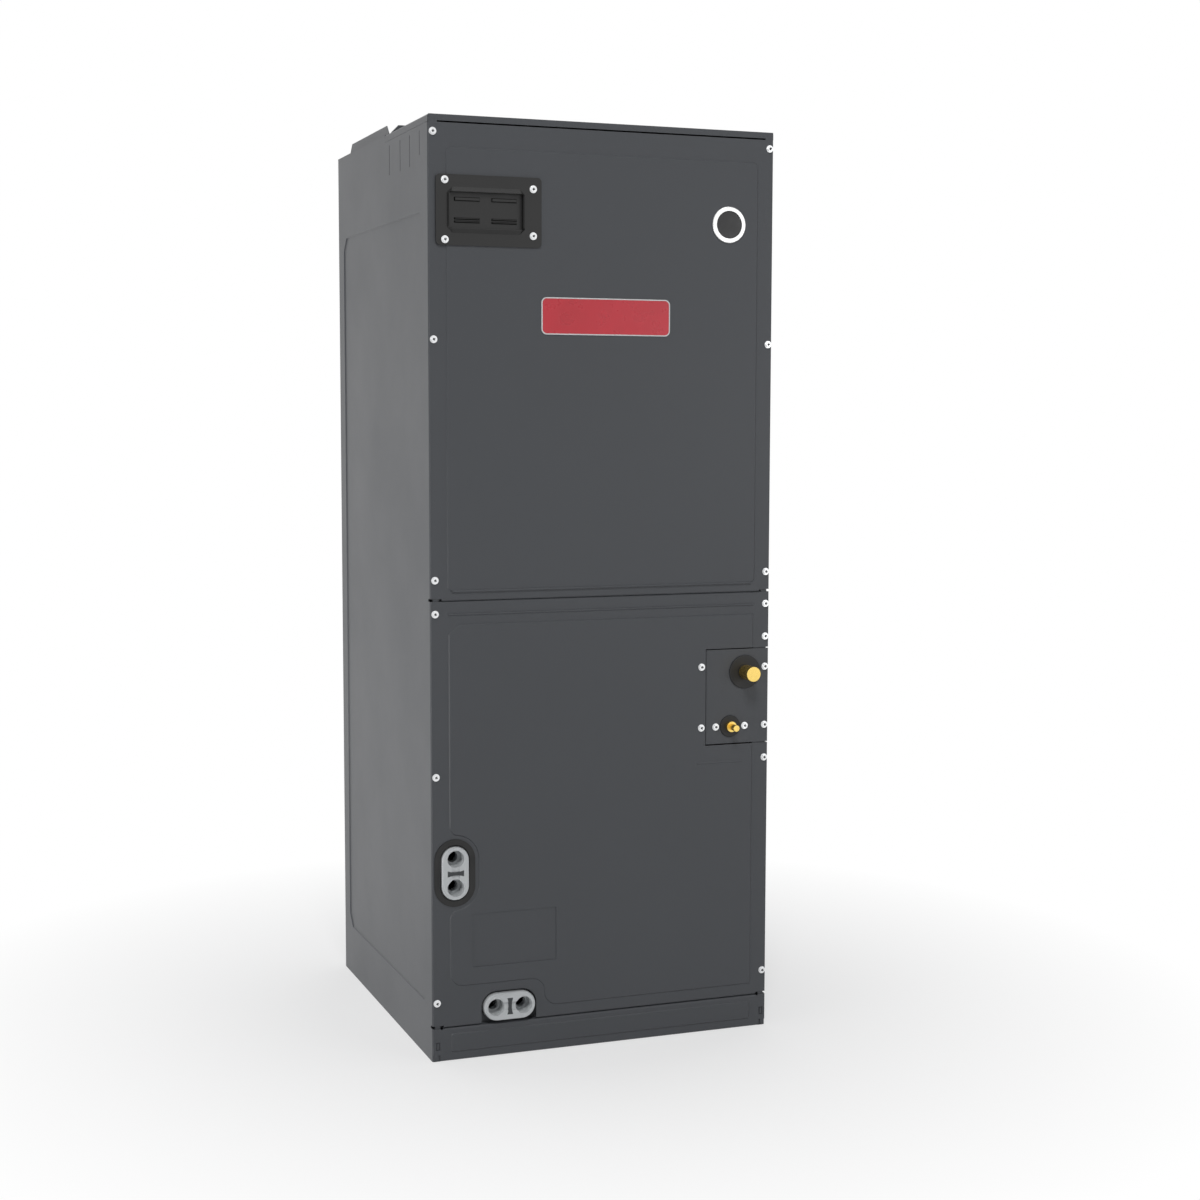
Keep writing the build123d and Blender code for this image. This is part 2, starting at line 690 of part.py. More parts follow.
# Rails inside: channels that guide the filter, and angles that carry the floor pan
rail_start = RAIL_DEPTH + SHEET + SEAT_GAP
filter_low = FILTER_BASE - FILTER_PLAY
filter_high = FILTER_BASE + FILTER_THICKNESS + FILTER_PLAY
filter_half = half_width - FILTER_SIDE_INSET
filter_lip_x = filter_half - FILTER_LIP
with BuildPart() as inner_rails:
    with BuildSketch(at_y(deep(back_inside - fold_room))):
        with BuildLine():
            Polyline((filter_lip_x, filter_low), (web_inside - 2 * SHEET, filter_low),
                     (web_inside - 2 * SHEET, filter_high), (filter_lip_x, filter_high))
            offset(amount=SHEET, side=Side.RIGHT, kind=Kind.INTERSECTION)
        make_face()
    extrude(amount=back_inside - fold_room - FILTER_FRONT)
    with BuildSketch(at_y(deep(back_inside - fold_room))):
        with BuildLine():
            Polyline((web_inside - SUPPORT_LEG, FLOOR_PAN_BASE), (web_inside - SHEET, FLOOR_PAN_BASE),
                     (web_inside - SHEET, FLOOR_PAN_BASE + SUPPORT_LEG))
            offset(amount=SHEET, side=Side.RIGHT, kind=Kind.INTERSECTION)
        make_face()
    extrude(amount=back_inside - fold_room - rail_start)
    mirror(about=Plane.YZ)
save("inner_rails", inner_rails.part)


def cross_channel(low, high):
    """A folded channel that runs across the cabinet behind a seam, open to the rear."""
    with BuildPart() as channel:
        with BuildSketch(at_x(-field_inside)):
            with BuildLine():
                FilletPolyline((deep(RAIL_DEPTH + RAIL_FLANGE), high), (deep(RAIL_DEPTH), high),
                               (deep(RAIL_DEPTH), low), (deep(RAIL_DEPTH + RAIL_FLANGE), low),
                               radius=FOLD)
                offset(amount=SHEET, side=Side.LEFT)
            make_face()
        extrude(amount=2 * field_inside)
    return channel.part


# Front sill behind the lower seam, with a hole for the floor pan's port
with BuildPart() as front_sill:
    add(cross_channel(SILL_BOTTOM, SILL_TOP))
    with BuildSketch(at_y(deep(RAIL_DEPTH + SHEET))):
        stadium(floor_port_x, FLOOR_PORT_HEIGHT, PORT_LENGTH + PORT_CLEARANCE,
                PORT_WIDTH + PORT_CLEARANCE)
    extrude(amount=SHEET, mode=Mode.SUBTRACT)
save("front_sill", front_sill.part)

# Centre rail behind the seam between the two access panels
center_rail = cross_channel(seam_z - CENTER_RAIL_HEIGHT / 2, seam_z + CENTER_RAIL_HEIGHT / 2)
save("front_center_rail", center_rail)

# Blower deck, with the blower's outlet cut through it
housing_half = WHEEL_WIDTH / 2 + HOUSING_SIDE_GAP
outlet_rear = duct_rear - OUTLET_REAR_GAP
scroll_start = WHEEL_RADIUS + SCROLL_START_GAP
wheel_depth = outlet_rear - scroll_start - SCROLL_GROWTH
outlet_front = wheel_depth - CUTOFF_LEAN
start_angle = asin(CUTOFF_LEAN / scroll_start)
cutoff_z = deck_z - OUTLET_RISE
wheel_z = cutoff_z - scroll_start * cos(start_angle)
with BuildPart() as blower_deck:
    with BuildSketch(at_y(deep(rear_face))):
        with BuildLine():
            FilletPolyline((-field_inside, deck_z - DECK_FLANGE), (-field_inside, deck_z + SHEET),
                           (field_inside, deck_z + SHEET), (field_inside, deck_z - DECK_FLANGE),
                           radius=FOLD)
            offset(amount=SHEET, side=Side.RIGHT)
        make_face()
    extrude(amount=rear_face - DECK_FRONT)
    with BuildSketch(at_z(deck_z)):
        span(-housing_half, housing_half, deep(outlet_front), deep(outlet_rear))
    extrude(amount=SHEET, mode=Mode.SUBTRACT)
save("blower_deck", blower_deck.part)

# Insulation boards on the side and back panels, below and above the deck
lined_spaces = [(LINER_START, SIDE_FIELD_BOTTOM + PANEL_LINER_MARGIN, deck_z - DECK_FLANGE),
                (plenum_depth, deck_z + SHEET,
                 top_z - SIDE_FIELD_TOP_DROP - PANEL_LINER_MARGIN)]
with BuildPart() as cabinet_liner:
    for start, low, high in lined_spaces:
        for side_start in (-field_inside, room_half):
            with BuildSketch(at_x(side_start)):
                span(deep(start), deep(room_rear), low, high)
            extrude(amount=INSULATION)
        with BuildSketch(at_y(deep(rear_face))):
            span(-web_inside + BACK_FIELD_INSET + PANEL_LINER_MARGIN,
                 web_inside - BACK_FIELD_INSET - PANEL_LINER_MARGIN, low, high)
        extrude(amount=INSULATION)
save("cabinet_liner", cabinet_liner.part)

# Plenum wall in front of the supply duct, with a blanked opening for heater elements
heater_z = deck_z + HEATER_PLATE_RISE + HEATER_PLATE_HEIGHT / 2
with BuildPart() as plenum_wall:
    with BuildSketch(at_y(deep(plenum_depth))):
        span(-field_inside, field_inside, deck_z + SHEET, top_z - SHEET)
        with Locations((0, heater_z)):
            Rectangle(HEATER_PLATE_WIDTH - 2 * HEATER_PLATE_LAP,
                      HEATER_PLATE_HEIGHT - 2 * HEATER_PLATE_LAP, mode=Mode.SUBTRACT)
    extrude(amount=SHEET)
save("plenum_wall", plenum_wall.part)
with BuildPart() as heater_blank_plate:
    with BuildSketch(at_y(deep(plenum_depth - SHEET))):
        with Locations((0, heater_z)):
            RectangleRounded(HEATER_PLATE_WIDTH, HEATER_PLATE_HEIGHT, PLATE_CORNER)
    extrude(amount=SHEET)
    with BuildSketch(at_y(deep(plenum_depth - SHEET))):
        with Locations((0, heater_z)):
            with GridLocations(HEATER_PLATE_WIDTH - HEATER_PLATE_LAP,
                               HEATER_PLATE_HEIGHT - HEATER_PLATE_LAP, 2, 2):
                Circle(SCREW_HOLE_RADIUS)
    extrude(amount=SHEET, mode=Mode.SUBTRACT)
save("heater_blank_plate", heater_blank_plate.part)

# Upper access panel: raised field, slot under the top edge, openings for the breaker cover
# and the sight glass
field_y = y_front - EMBOSS
upper_low = seam_z + SEAM_GAP / 2
upper_field_half = half_width - UPPER_FIELD_INSET
upper_field_low = seam_z + UPPER_RIDGE_RISE
upper_field_high = top_z - UPPER_FIELD_DROP
cover_x = -half_width + PLATE_INSET + PLATE_WIDTH / 2
cover_z = top_z - PLATE_DROP - PLATE_HEIGHT / 2
window_x = cover_x - WINDOW_SHIFT
recess_width = WINDOW_WIDTH - 2 * WINDOW_SIDE_BEVEL - 2 * WINDOW_RIM
recess_height = WINDOW_HEIGHT - 2 * WINDOW_TOP_BEVEL - 2 * WINDOW_RIM
glass_x = half_width - SIGHT_GLASS_INSET
glass_z = top_z - SIGHT_GLASS_DROP
sleeve_radius = SIGHT_LENS_RADIUS + SIGHT_SLEEVE
cover_screws_at = [(cover_x - PLATE_WIDTH / 2 + COVER_SCREW_LEFT, cover_z + COVER_SCREW_LEFT_RISE),
                   (cover_x - PLATE_WIDTH / 2 + COVER_SCREW_LEFT, cover_z - COVER_SCREW_LEFT_RISE),
                   (cover_x + PLATE_WIDTH / 2 - COVER_SCREW_RIGHT, cover_z + COVER_SCREW_RIGHT_RISE),
                   (cover_x + PLATE_WIDTH / 2 - COVER_SCREW_RIGHT, cover_z - COVER_SCREW_RIGHT_RISE)]


def front_sheet(low, high, low_return, high_return, low_relief):
    """Flat front sheet with folded returns between its ears, which stop short of a seam."""
    path = [(deep(0), high), (deep(0), low)]
    if high_return:
        path.insert(0, (deep(PANEL_RETURN), high))
    if low_return:
        path.append((deep(PANEL_RETURN), low))
    with BuildSketch(at_x(-return_half)) as profile:
        with BuildLine():
            FilletPolyline(*path, radius=FOLD)
            offset(amount=SHEET, side=Side.LEFT)
        make_face()
    extrude(profile.sketch, amount=2 * return_half)
    with BuildSketch(at_y(deep(SHEET))) as ears:
        span(-panel_half, -return_half, low + low_relief, high)
        span(return_half, panel_half, low + low_relief, high)
    extrude(ears.sketch, amount=SHEET)


with BuildPart() as upper_access_panel:
    front_sheet(upper_low, top_z, True, False, EAR_RELIEF)
    with BuildSketch(mode=Mode.PRIVATE) as upper_field:
        span(-upper_field_half, upper_field_half, upper_field_low, upper_field_high)
        fillet(upper_field.vertices(), FIELD_CORNER)
    raised_field(upper_field.sketch, y_front)
    ridges([upper_field_low], half_width - UPPER_RIDGE_INSET, y_front, EMBOSS + RIDGE_HEIGHT)
    with BuildSketch(at_y(y_front)):
        with Locations((cover_x, cover_z)):
            RectangleRounded(PLATE_WIDTH - 2 * PLATE_PAD_INSET, PLATE_HEIGHT - 2 * PLATE_PAD_INSET,
                             PLATE_CORNER - PLATE_PAD_INSET)
    extrude(amount=EMBOSS)
    with BuildSketch(at_y(deep(SHEET))):
        with Locations((window_x, cover_z)):
            Rectangle(recess_width + 2 * WINDOW_WALL + 2 * WINDOW_PLAY,
                      recess_height + 2 * WINDOW_WALL + 2 * WINDOW_PLAY)
        with Locations((glass_x, glass_z)):
            Circle(sleeve_radius + SEAT_GAP)
        with Locations((0, top_z - SLOT_DROP)):
            Rectangle(CABINET_WIDTH - 2 * SLOT_INSET, SLOT_HEIGHT)
    extrude(amount=SHEET + EMBOSS, mode=Mode.SUBTRACT)
    front_holes(upper_screws_at, SCREW_HOLE_RADIUS, y_front, SHEET)
    front_holes(cover_screws_at, SCREW_HOLE_RADIUS, field_y, SHEET + EMBOSS)
    front_holes([(-relief_x, upper_low + RELIEF_HOLE_RADIUS), (relief_x, upper_low + RELIEF_HOLE_RADIUS)],
                RELIEF_HOLE_RADIUS, y_front, SHEET)
save("upper_access_panel", upper_access_panel.part)

# Insulation behind the upper panel, nested in the hollow of its field
liner_front = deep(SHEET - EMBOSS)
with BuildPart() as upper_panel_liner:
    with BuildSketch(at_y(liner_front + INSULATION)):
        span(-upper_field_half + PANEL_LINER_MARGIN, upper_field_half - PANEL_LINER_MARGIN,
             upper_field_low + PANEL_LINER_MARGIN, upper_field_high - PANEL_LINER_MARGIN)
        with Locations((cover_x, cover_z)):
            Rectangle(PLATE_WIDTH + PANEL_LINER_MARGIN, PLATE_HEIGHT + PANEL_LINER_MARGIN,
                      mode=Mode.SUBTRACT)
        with Locations((glass_x, glass_z)):
            Circle(sleeve_radius + PANEL_LINER_MARGIN, mode=Mode.SUBTRACT)
    extrude(amount=INSULATION)
save("upper_panel_liner", upper_panel_liner.part)

with BuildPart() as upper_panel_screws:
    front_screws(upper_screws_at, y_front)
save("upper_panel_screws", upper_panel_screws.part)

# Breaker cover: a moulded plate with a bevelled window frame and two blanked positions
recess_floor = field_y - PLATE_THICKNESS - WINDOW_RISE + WINDOW_RECESS
with BuildPart() as breaker_cover:
    with BuildSketch(at_y(field_y)):
        with Locations((cover_x, cover_z)):
            RectangleRounded(PLATE_WIDTH, PLATE_HEIGHT, PLATE_CORNER)
    extrude(amount=PLATE_THICKNESS)
    with BuildSketch(at_y(field_y - PLATE_THICKNESS)) as frame_foot:
        with Locations((window_x, cover_z)):
            Rectangle(WINDOW_WIDTH, WINDOW_HEIGHT)
        chamfer(frame_foot.vertices(), WINDOW_CORNER)
    with BuildSketch(at_y(field_y - PLATE_THICKNESS - WINDOW_RISE)) as frame_top:
        with Locations((window_x, cover_z)):
            Rectangle(WINDOW_WIDTH - 2 * WINDOW_SIDE_BEVEL, WINDOW_HEIGHT - 2 * WINDOW_TOP_BEVEL)
        chamfer(frame_top.vertices(), WINDOW_CORNER / 2)
    loft()
    with BuildSketch(at_y(recess_floor + WINDOW_WALL)):
        with Locations((window_x, cover_z)):
            Rectangle(recess_width + 2 * WINDOW_WALL, recess_height + 2 * WINDOW_WALL)
    extrude(amount=recess_floor + WINDOW_WALL - field_y)
    with BuildSketch(at_y(recess_floor)):
        with Locations((window_x, cover_z)):
            Rectangle(recess_width, recess_height)
    extrude(amount=WINDOW_RECESS, mode=Mode.SUBTRACT)
    with BuildSketch(at_y(recess_floor)):
        for blank_x in (window_x - BLANK_PITCH / 2, window_x + BLANK_PITCH / 2):
            with Locations((blank_x, cover_z + BLANK_TOP_OFFSET)):
                Rectangle(BLANK_WIDTH, BLANK_TOP_BAR)
            with Locations(*[(blank_x, cover_z + rise) for rise in BLANK_LOW_OFFSETS]):
                Rectangle(BLANK_WIDTH, BLANK_LOW_BAR)
    extrude(amount=BLANK_BAR_RISE, taper=BLANK_BAR_TAPER)
    front_holes(cover_screws_at, SCREW_HOLE_RADIUS, field_y - PLATE_THICKNESS, PLATE_THICKNESS)
save("breaker_cover", breaker_cover.part)

with BuildPart() as breaker_cover_screws:
    front_screws(cover_screws_at, field_y - PLATE_THICKNESS, PLATE_THICKNESS + EMBOSS + SHEET)
save("breaker_cover_screws", breaker_cover_screws.part)

# Sight glass: a stepped bezel with a sleeve through the panel, and a dark lens on its step
with BuildPart() as sight_glass_bezel:
    with BuildSketch(at_y(field_y)):
        with Locations((glass_x, glass_z)):
            Circle(SIGHT_GLASS_RADIUS)
    extrude(amount=SIGHT_BEZEL_RISE)
    chamfer(sight_glass_bezel.edges().filter_by(GeomType.CIRCLE).sort_by(Axis.Y)[0], SIGHT_CHAMFER)
    with BuildSketch(at_y(field_y + SIGHT_SLEEVE_LENGTH)):
        with Locations((glass_x, glass_z)):
            Circle(sleeve_radius)
    extrude(amount=SIGHT_SLEEVE_LENGTH)
    with BuildSketch(at_y(field_y - SIGHT_BEZEL_RISE)):
        with Locations((glass_x, glass_z)):
            Circle(SIGHT_LENS_RADIUS)
    extrude(amount=-SIGHT_BEZEL_RISE, mode=Mode.SUBTRACT)
    with BuildSketch(at_y(field_y)):
        with Locations((glass_x, glass_z)):
            Circle(SIGHT_LENS_RADIUS - SIGHT_SLEEVE)
    extrude(amount=-SIGHT_SLEEVE_LENGTH, mode=Mode.SUBTRACT)
save("sight_glass_bezel", sight_glass_bezel.part)

with BuildPart() as sight_glass_lens:
    with BuildSketch(at_y(field_y)):
        with Locations((glass_x, glass_z)):
            Circle(SIGHT_LENS_RADIUS - RUNNING_GAP)
    extrude(amount=SIGHT_LENS_THICKNESS)
    chamfer(sight_glass_lens.edges().filter_by(GeomType.CIRCLE).sort_by(Axis.Y)[0], SIGHT_CHAMFER)
save("sight_glass_lens", sight_glass_lens.part)

# Badge place: a bare plate in a thin rim, with nothing on it
badge_z = top_z - BADGE_DROP - BADGE_HEIGHT / 2
with BuildPart() as badge_rim:
    with BuildSketch(at_y(field_y)):
        with Locations((0, badge_z)):
            RectangleRounded(BADGE_WIDTH, BADGE_HEIGHT, BADGE_CORNER)
            RectangleRounded(BADGE_WIDTH - 2 * BADGE_RIM, BADGE_HEIGHT - 2 * BADGE_RIM,
                             BADGE_CORNER - BADGE_RIM, mode=Mode.SUBTRACT)
    extrude(amount=BADGE_RIM_THICKNESS)
save("badge_rim", badge_rim.part)
with BuildPart() as badge_plate:
    with BuildSketch(at_y(field_y)):
        with Locations((0, badge_z)):
            inset = 2 * (BADGE_RIM + RUNNING_GAP)
            RectangleRounded(BADGE_WIDTH - inset, BADGE_HEIGHT - inset,
                             BADGE_CORNER - BADGE_RIM - RUNNING_GAP)
    extrude(amount=BADGE_PLATE_THICKNESS)
save("badge_plate", badge_plate.part)

# Lower access panel: raised field that bends round both drain ports, cut-outs for the ports,
# and a notch at the right edge for the line connection plate
lower_low = FILTER_SECTION + DOOR_SEAM_GAP / 2
lower_high = seam_z - SEAM_GAP / 2
lower_field_half = half_width - LOWER_FIELD_INSET
lower_field_low = FILTER_SECTION + LOWER_FIELD_RISE
lower_field_high = seam_z - LOWER_FIELD_DROP
arch_bay_x = floor_port_x + PORT_LENGTH / 2 + ARCH_BAY_MARGIN + ARCH_CLEARANCE
arch_bay_z = FLOOR_PORT_HEIGHT + PORT_WIDTH / 2 + ARCH_BAY_MARGIN + ARCH_CLEARANCE
gasket_opening = 2 * GASKET_GAP + 2 * GASKET_TUCK
label_x = -half_width + LABEL_INSET + LABEL_WIDTH / 2
with BuildPart() as lower_access_panel:
    front_sheet(lower_low, lower_high, True, True, EAR_RELIEF)
    with BuildSketch(mode=Mode.PRIVATE) as lower_field:
        with BuildLine():
            Polyline((-lower_field_half, lower_field_high), (lower_field_half, lower_field_high),
                     (lower_field_half, lower_field_low), (arch_bay_x, lower_field_low),
                     (arch_bay_x, arch_bay_z), (-lower_field_half, arch_bay_z), close=True)
        make_face()
        top_left = lower_field.vertices().sort_by(Axis.X)[:2].sort_by(Axis.Y)[-1]
        arch_corners = lower_field.vertices().filter_by(lambda v: abs(v.X - arch_bay_x) < 1)
        lower_left = lower_field.vertices().sort_by(Axis.X)[:2].sort_by(Axis.Y)[0]
        right_corners = lower_field.vertices().sort_by(Axis.X)[-2:]
        chamfer(top_left, LOWER_FIELD_CHAMFER)
        fillet([*arch_corners, lower_left], ARCH_BAY_CORNER)
        fillet(right_corners, FIELD_CORNER)
        stadium(side_port_x, SIDE_PORT_HEIGHT, PORT_LENGTH + PORT_BAY_MARGIN,
                PORT_WIDTH + PORT_BAY_MARGIN, 90, mode=Mode.SUBTRACT)
        bay_corners = lower_field.vertices().filter_by(
            lambda v: abs(v.X + lower_field_half) < 0.01 and abs(v.Y - SIDE_PORT_HEIGHT) < PORT_LENGTH)
        fillet(bay_corners, PORT_BAY_CORNER)
    raised_field(lower_field.sketch, y_front)
    ridges([seam_z - LOWER_RIDGE_DROP], half_width - LOWER_RIDGE_INSET, y_front, RIDGE_HEIGHT)
    ridges([plate_bottom - SHORT_RIDGE_DROP], SHORT_RIDGE_LENGTH / 2, field_y, RIDGE_HEIGHT / 2,
           half_width - SHORT_RIDGE_INSET - SHORT_RIDGE_LENGTH / 2)
    # Shallow pressed recess for a label, left bare
    with BuildSketch(at_y(field_y + SHEET + LABEL_DEPTH)):
        with Locations((label_x, LABEL_BOTTOM + LABEL_HEIGHT / 2)):
            Rectangle(LABEL_WIDTH + 2 * SHEET, LABEL_HEIGHT + 2 * SHEET)
    extrude(amount=LABEL_DEPTH)
    with BuildSketch(at_y(field_y)):
        with Locations((label_x, LABEL_BOTTOM + LABEL_HEIGHT / 2)):
            Rectangle(LABEL_WIDTH, LABEL_HEIGHT)
    extrude(amount=-LABEL_DEPTH, mode=Mode.SUBTRACT)
    with BuildSketch(at_y(deep(PANEL_RETURN))):
        stadium(side_port_x, SIDE_PORT_HEIGHT, PORT_LENGTH + gasket_opening,
                PORT_WIDTH + gasket_opening, 90)
        stadium(floor_port_x, FLOOR_PORT_HEIGHT, PORT_LENGTH + 2 * ARCH_CLEARANCE,
                PORT_WIDTH + 2 * ARCH_CLEARANCE)
        span(floor_port_x - PORT_LENGTH / 2 - ARCH_CLEARANCE,
             floor_port_x + PORT_LENGTH / 2 + ARCH_CLEARANCE, 0, FLOOR_PORT_HEIGHT)
        span(plate_left - TUBING_PLATE_GAP, half_width,
             plate_bottom - TUBING_PLATE_GAP, plate_top + TUBING_PLATE_GAP)
    extrude(amount=PANEL_RETURN + 2 * EMBOSS + RIDGE_HEIGHT, mode=Mode.SUBTRACT)
    front_holes(lower_screws_at, SCREW_HOLE_RADIUS, y_front, SHEET)
    front_holes(plate_edge_screws_at, SCREW_HOLE_RADIUS, field_y, SHEET + EMBOSS)
    front_holes([(-relief_x, lower_low), (relief_x, lower_low)], RELIEF_HOLE_RADIUS, y_front, SHEET)
save("lower_access_panel", lower_access_panel.part)

# Insulation behind the lower panel, cut away round the ports and the connection plate
liner_bay_reach = SIDE_PORT_INSET + (PORT_WIDTH + PORT_BAY_MARGIN) / 2 - LOWER_FIELD_INSET
liner_bay_reach += PANEL_LINER_MARGIN
liner_bay_height = PORT_LENGTH + PORT_BAY_MARGIN + 2 * (PORT_BAY_CORNER + PANEL_LINER_MARGIN)
with BuildPart() as lower_panel_liner:
    with BuildSketch(at_y(liner_front + INSULATION)):
        span(-lower_field_half + PANEL_LINER_MARGIN,
             plate_left - TUBING_PLATE_GAP - TUBING_PLATE_LAP - PANEL_LINER_MARGIN,
             arch_bay_z + ARCH_BAY_CORNER,
             lower_field_high - LOWER_FIELD_CHAMFER - PANEL_LINER_MARGIN)
        span(0, lower_field_half - PANEL_LINER_MARGIN, arch_bay_z + ARCH_BAY_CORNER,
             plate_bottom - TUBING_PLATE_GAP - TUBING_PLATE_LAP - PANEL_LINER_MARGIN)
        with Locations((-lower_field_half, SIDE_PORT_HEIGHT)):
            Rectangle(2 * liner_bay_reach, liner_bay_height, mode=Mode.SUBTRACT)
        with Locations((label_x, LABEL_BOTTOM + LABEL_HEIGHT / 2)):
            Rectangle(LABEL_WIDTH + 2 * PANEL_LINER_MARGIN, LABEL_HEIGHT + 2 * PANEL_LINER_MARGIN,
                      mode=Mode.SUBTRACT)
    extrude(amount=INSULATION)
save("lower_panel_liner", lower_panel_liner.part)

with BuildPart() as lower_panel_screws:
    front_screws(lower_screws_at, y_front)
    front_screws(plate_edge_screws_at, field_y, SCREW_LENGTH + EMBOSS)
save("lower_panel_screws", lower_panel_screws.part)

# Flat gasket round the side port, tucked into the panel's opening
with BuildPart() as drain_port_gasket:
    with BuildSketch(at_y(y_front)):
        stadium(side_port_x, SIDE_PORT_HEIGHT, PORT_LENGTH + 2 * GASKET_GAP + 2 * GASKET_BAND,
                PORT_WIDTH + 2 * GASKET_GAP + 2 * GASKET_BAND, 90)
        stadium(side_port_x, SIDE_PORT_HEIGHT, PORT_LENGTH + 2 * GASKET_GAP,
                PORT_WIDTH + 2 * GASKET_GAP, 90, mode=Mode.SUBTRACT)
    extrude(amount=GASKET_THICKNESS)
    with BuildSketch(at_y(deep(SHEET))):
        stadium(side_port_x, SIDE_PORT_HEIGHT, PORT_LENGTH + gasket_opening - 2 * RUNNING_GAP,
                PORT_WIDTH + gasket_opening - 2 * RUNNING_GAP, 90)
        stadium(side_port_x, SIDE_PORT_HEIGHT, PORT_LENGTH + 2 * GASKET_GAP,
                PORT_WIDTH + 2 * GASKET_GAP, 90, mode=Mode.SUBTRACT)
    extrude(amount=SHEET)
save("drain_port_gasket", drain_port_gasket.part)

# Filter door at the foot, hooked on by a slot at each end
door_high = FILTER_SECTION - DOOR_SEAM_GAP / 2
with BuildPart() as filter_door:
    with BuildSketch(at_x(-return_half)):
        with BuildLine():
            FilletPolyline((deep(PANEL_RETURN), door_high), (deep(0), door_high),
                           (deep(0), DOOR_FLOOR_GAP), radius=FOLD)
            offset(amount=SHEET, side=Side.LEFT)
        make_face()
    extrude(amount=2 * return_half)
    with BuildSketch(at_y(deep(SHEET))):
        for side in (-1, 1):
            span(side * return_half, side * panel_half, DOOR_FLOOR_GAP, door_high)
            slot_in = side * (half_width - TAB_SLOT_INSET - TAB_SLOT_WIDTH)
            slot_out = side * (half_width - TAB_SLOT_INSET)
            span(slot_in, slot_out, TAB_SLOT_BOTTOM, TAB_SLOT_TOP, mode=Mode.SUBTRACT)
            span(slot_in, slot_in + side * FOOT_NOTCH_WIDTH, 0, FOOT_NOTCH_HEIGHT, mode=Mode.SUBTRACT)
            span(side * (panel_half - FOOT_INSET), side * panel_half, 0, FOOT_NOTCH_HEIGHT,
                 mode=Mode.SUBTRACT)
    extrude(amount=SHEET)
    with BuildSketch(mode=Mode.PRIVATE) as door_field:
        span(-half_width + DOOR_FIELD_INSET, half_width - DOOR_FIELD_INSET,
             DOOR_FIELD_BOTTOM, DOOR_FIELD_TOP)
        fillet(door_field.vertices(), DOOR_FIELD_CORNER)
    raised_field(door_field.sketch, y_front)
    front_holes([(-relief_x, door_high), (relief_x, door_high)], RELIEF_HOLE_RADIUS, y_front, SHEET)
save("filter_door", filter_door.part)

# Air filter: a board frame round a pleated sheet
frame_y0 = deep(FILTER_FRONT)
frame_y1 = deep(CABINET_DEPTH - FILTER_REAR_INSET)
with BuildPart() as air_filter_frame:
    with BuildSketch(at_z(FILTER_BASE)):
        span(-filter_half, filter_half, frame_y0, frame_y1)
        span(-filter_half + FILTER_FRAME, filter_half - FILTER_FRAME,
             frame_y0 + FILTER_FRAME, frame_y1 - FILTER_FRAME, mode=Mode.SUBTRACT)
    extrude(amount=FILTER_THICKNESS)
    with BuildSketch(at_z(FILTER_BASE + FILTER_BOARD)):
        span(-filter_half + FILTER_BOARD, filter_half - FILTER_BOARD,
             frame_y0 + FILTER_BOARD, frame_y1 - FILTER_BOARD)
    extrude(amount=FILTER_THICKNESS - 2 * FILTER_BOARD, mode=Mode.SUBTRACT)
save("air_filter_frame", air_filter_frame.part)

media_half = filter_half - FILTER_BOARD - FILTER_PLAY
media_low = FILTER_BASE + FILTER_BOARD + FILTER_PLAY
media_high = FILTER_BASE + FILTER_THICKNESS - FILTER_BOARD - FILTER_PLAY - FILTER_PLEAT_SHEET
pleat = 2 * media_half / FILTER_PLEATS
zigzag = [(-media_half + step * pleat / 2, (media_low, media_high)[step % 2])
          for step in range(2 * FILTER_PLEATS + 1)]
upper_zigzag = [(x, z + FILTER_PLEAT_SHEET) for x, z in reversed(zigzag)]
with BuildPart() as air_filter_media:
    with BuildSketch(at_y(frame_y1 - FILTER_BOARD - FILTER_PLAY)):
        with BuildLine():
            Polyline(*zigzag, *upper_zigzag, close=True)
        make_face()
    extrude(amount=frame_y1 - frame_y0 - 2 * FILTER_BOARD - 2 * FILTER_PLAY)
save("air_filter_media", air_filter_media.part)

# Line connection plate on the right, lapped behind the lower panel's edge
with BuildPart() as tubing_plate:
    with BuildSketch(at_y(deep(SHEET))):
        span(plate_left, panel_half, plate_bottom, plate_top)
    extrude(amount=SHEET)
    with BuildSketch(at_y(deep(flange_front))):
        span(plate_left, plate_left + TUBING_PLATE_WELD, plate_bottom, plate_top)
    extrude(amount=SEAT_GAP)
    with BuildSketch(at_y(deep(flange_back))):
        span(plate_left - TUBING_PLATE_LAP, plate_left + TUBING_PLATE_WELD,
             plate_bottom, plate_top)
    extrude(amount=SHEET)
    front_holes(plate_side_screws_at + plate_line_screws_at, SCREW_HOLE_RADIUS, y_front, SHEET)
    front_holes(plate_edge_screws_at, SCREW_HOLE_RADIUS, deep(flange_front), SHEET)
    front_holes([(suction_x, suction_z)], SUCTION_NECK, y_front, SHEET)
    front_holes([(liquid_x, liquid_z)], LIQUID_NECK, y_front, SHEET)
save("tubing_plate", tubing_plate.part)

with BuildPart() as tubing_plate_screws:
    front_screws(plate_side_screws_at + plate_line_screws_at, y_front)
save("tubing_plate_screws", tubing_plate_screws.part)

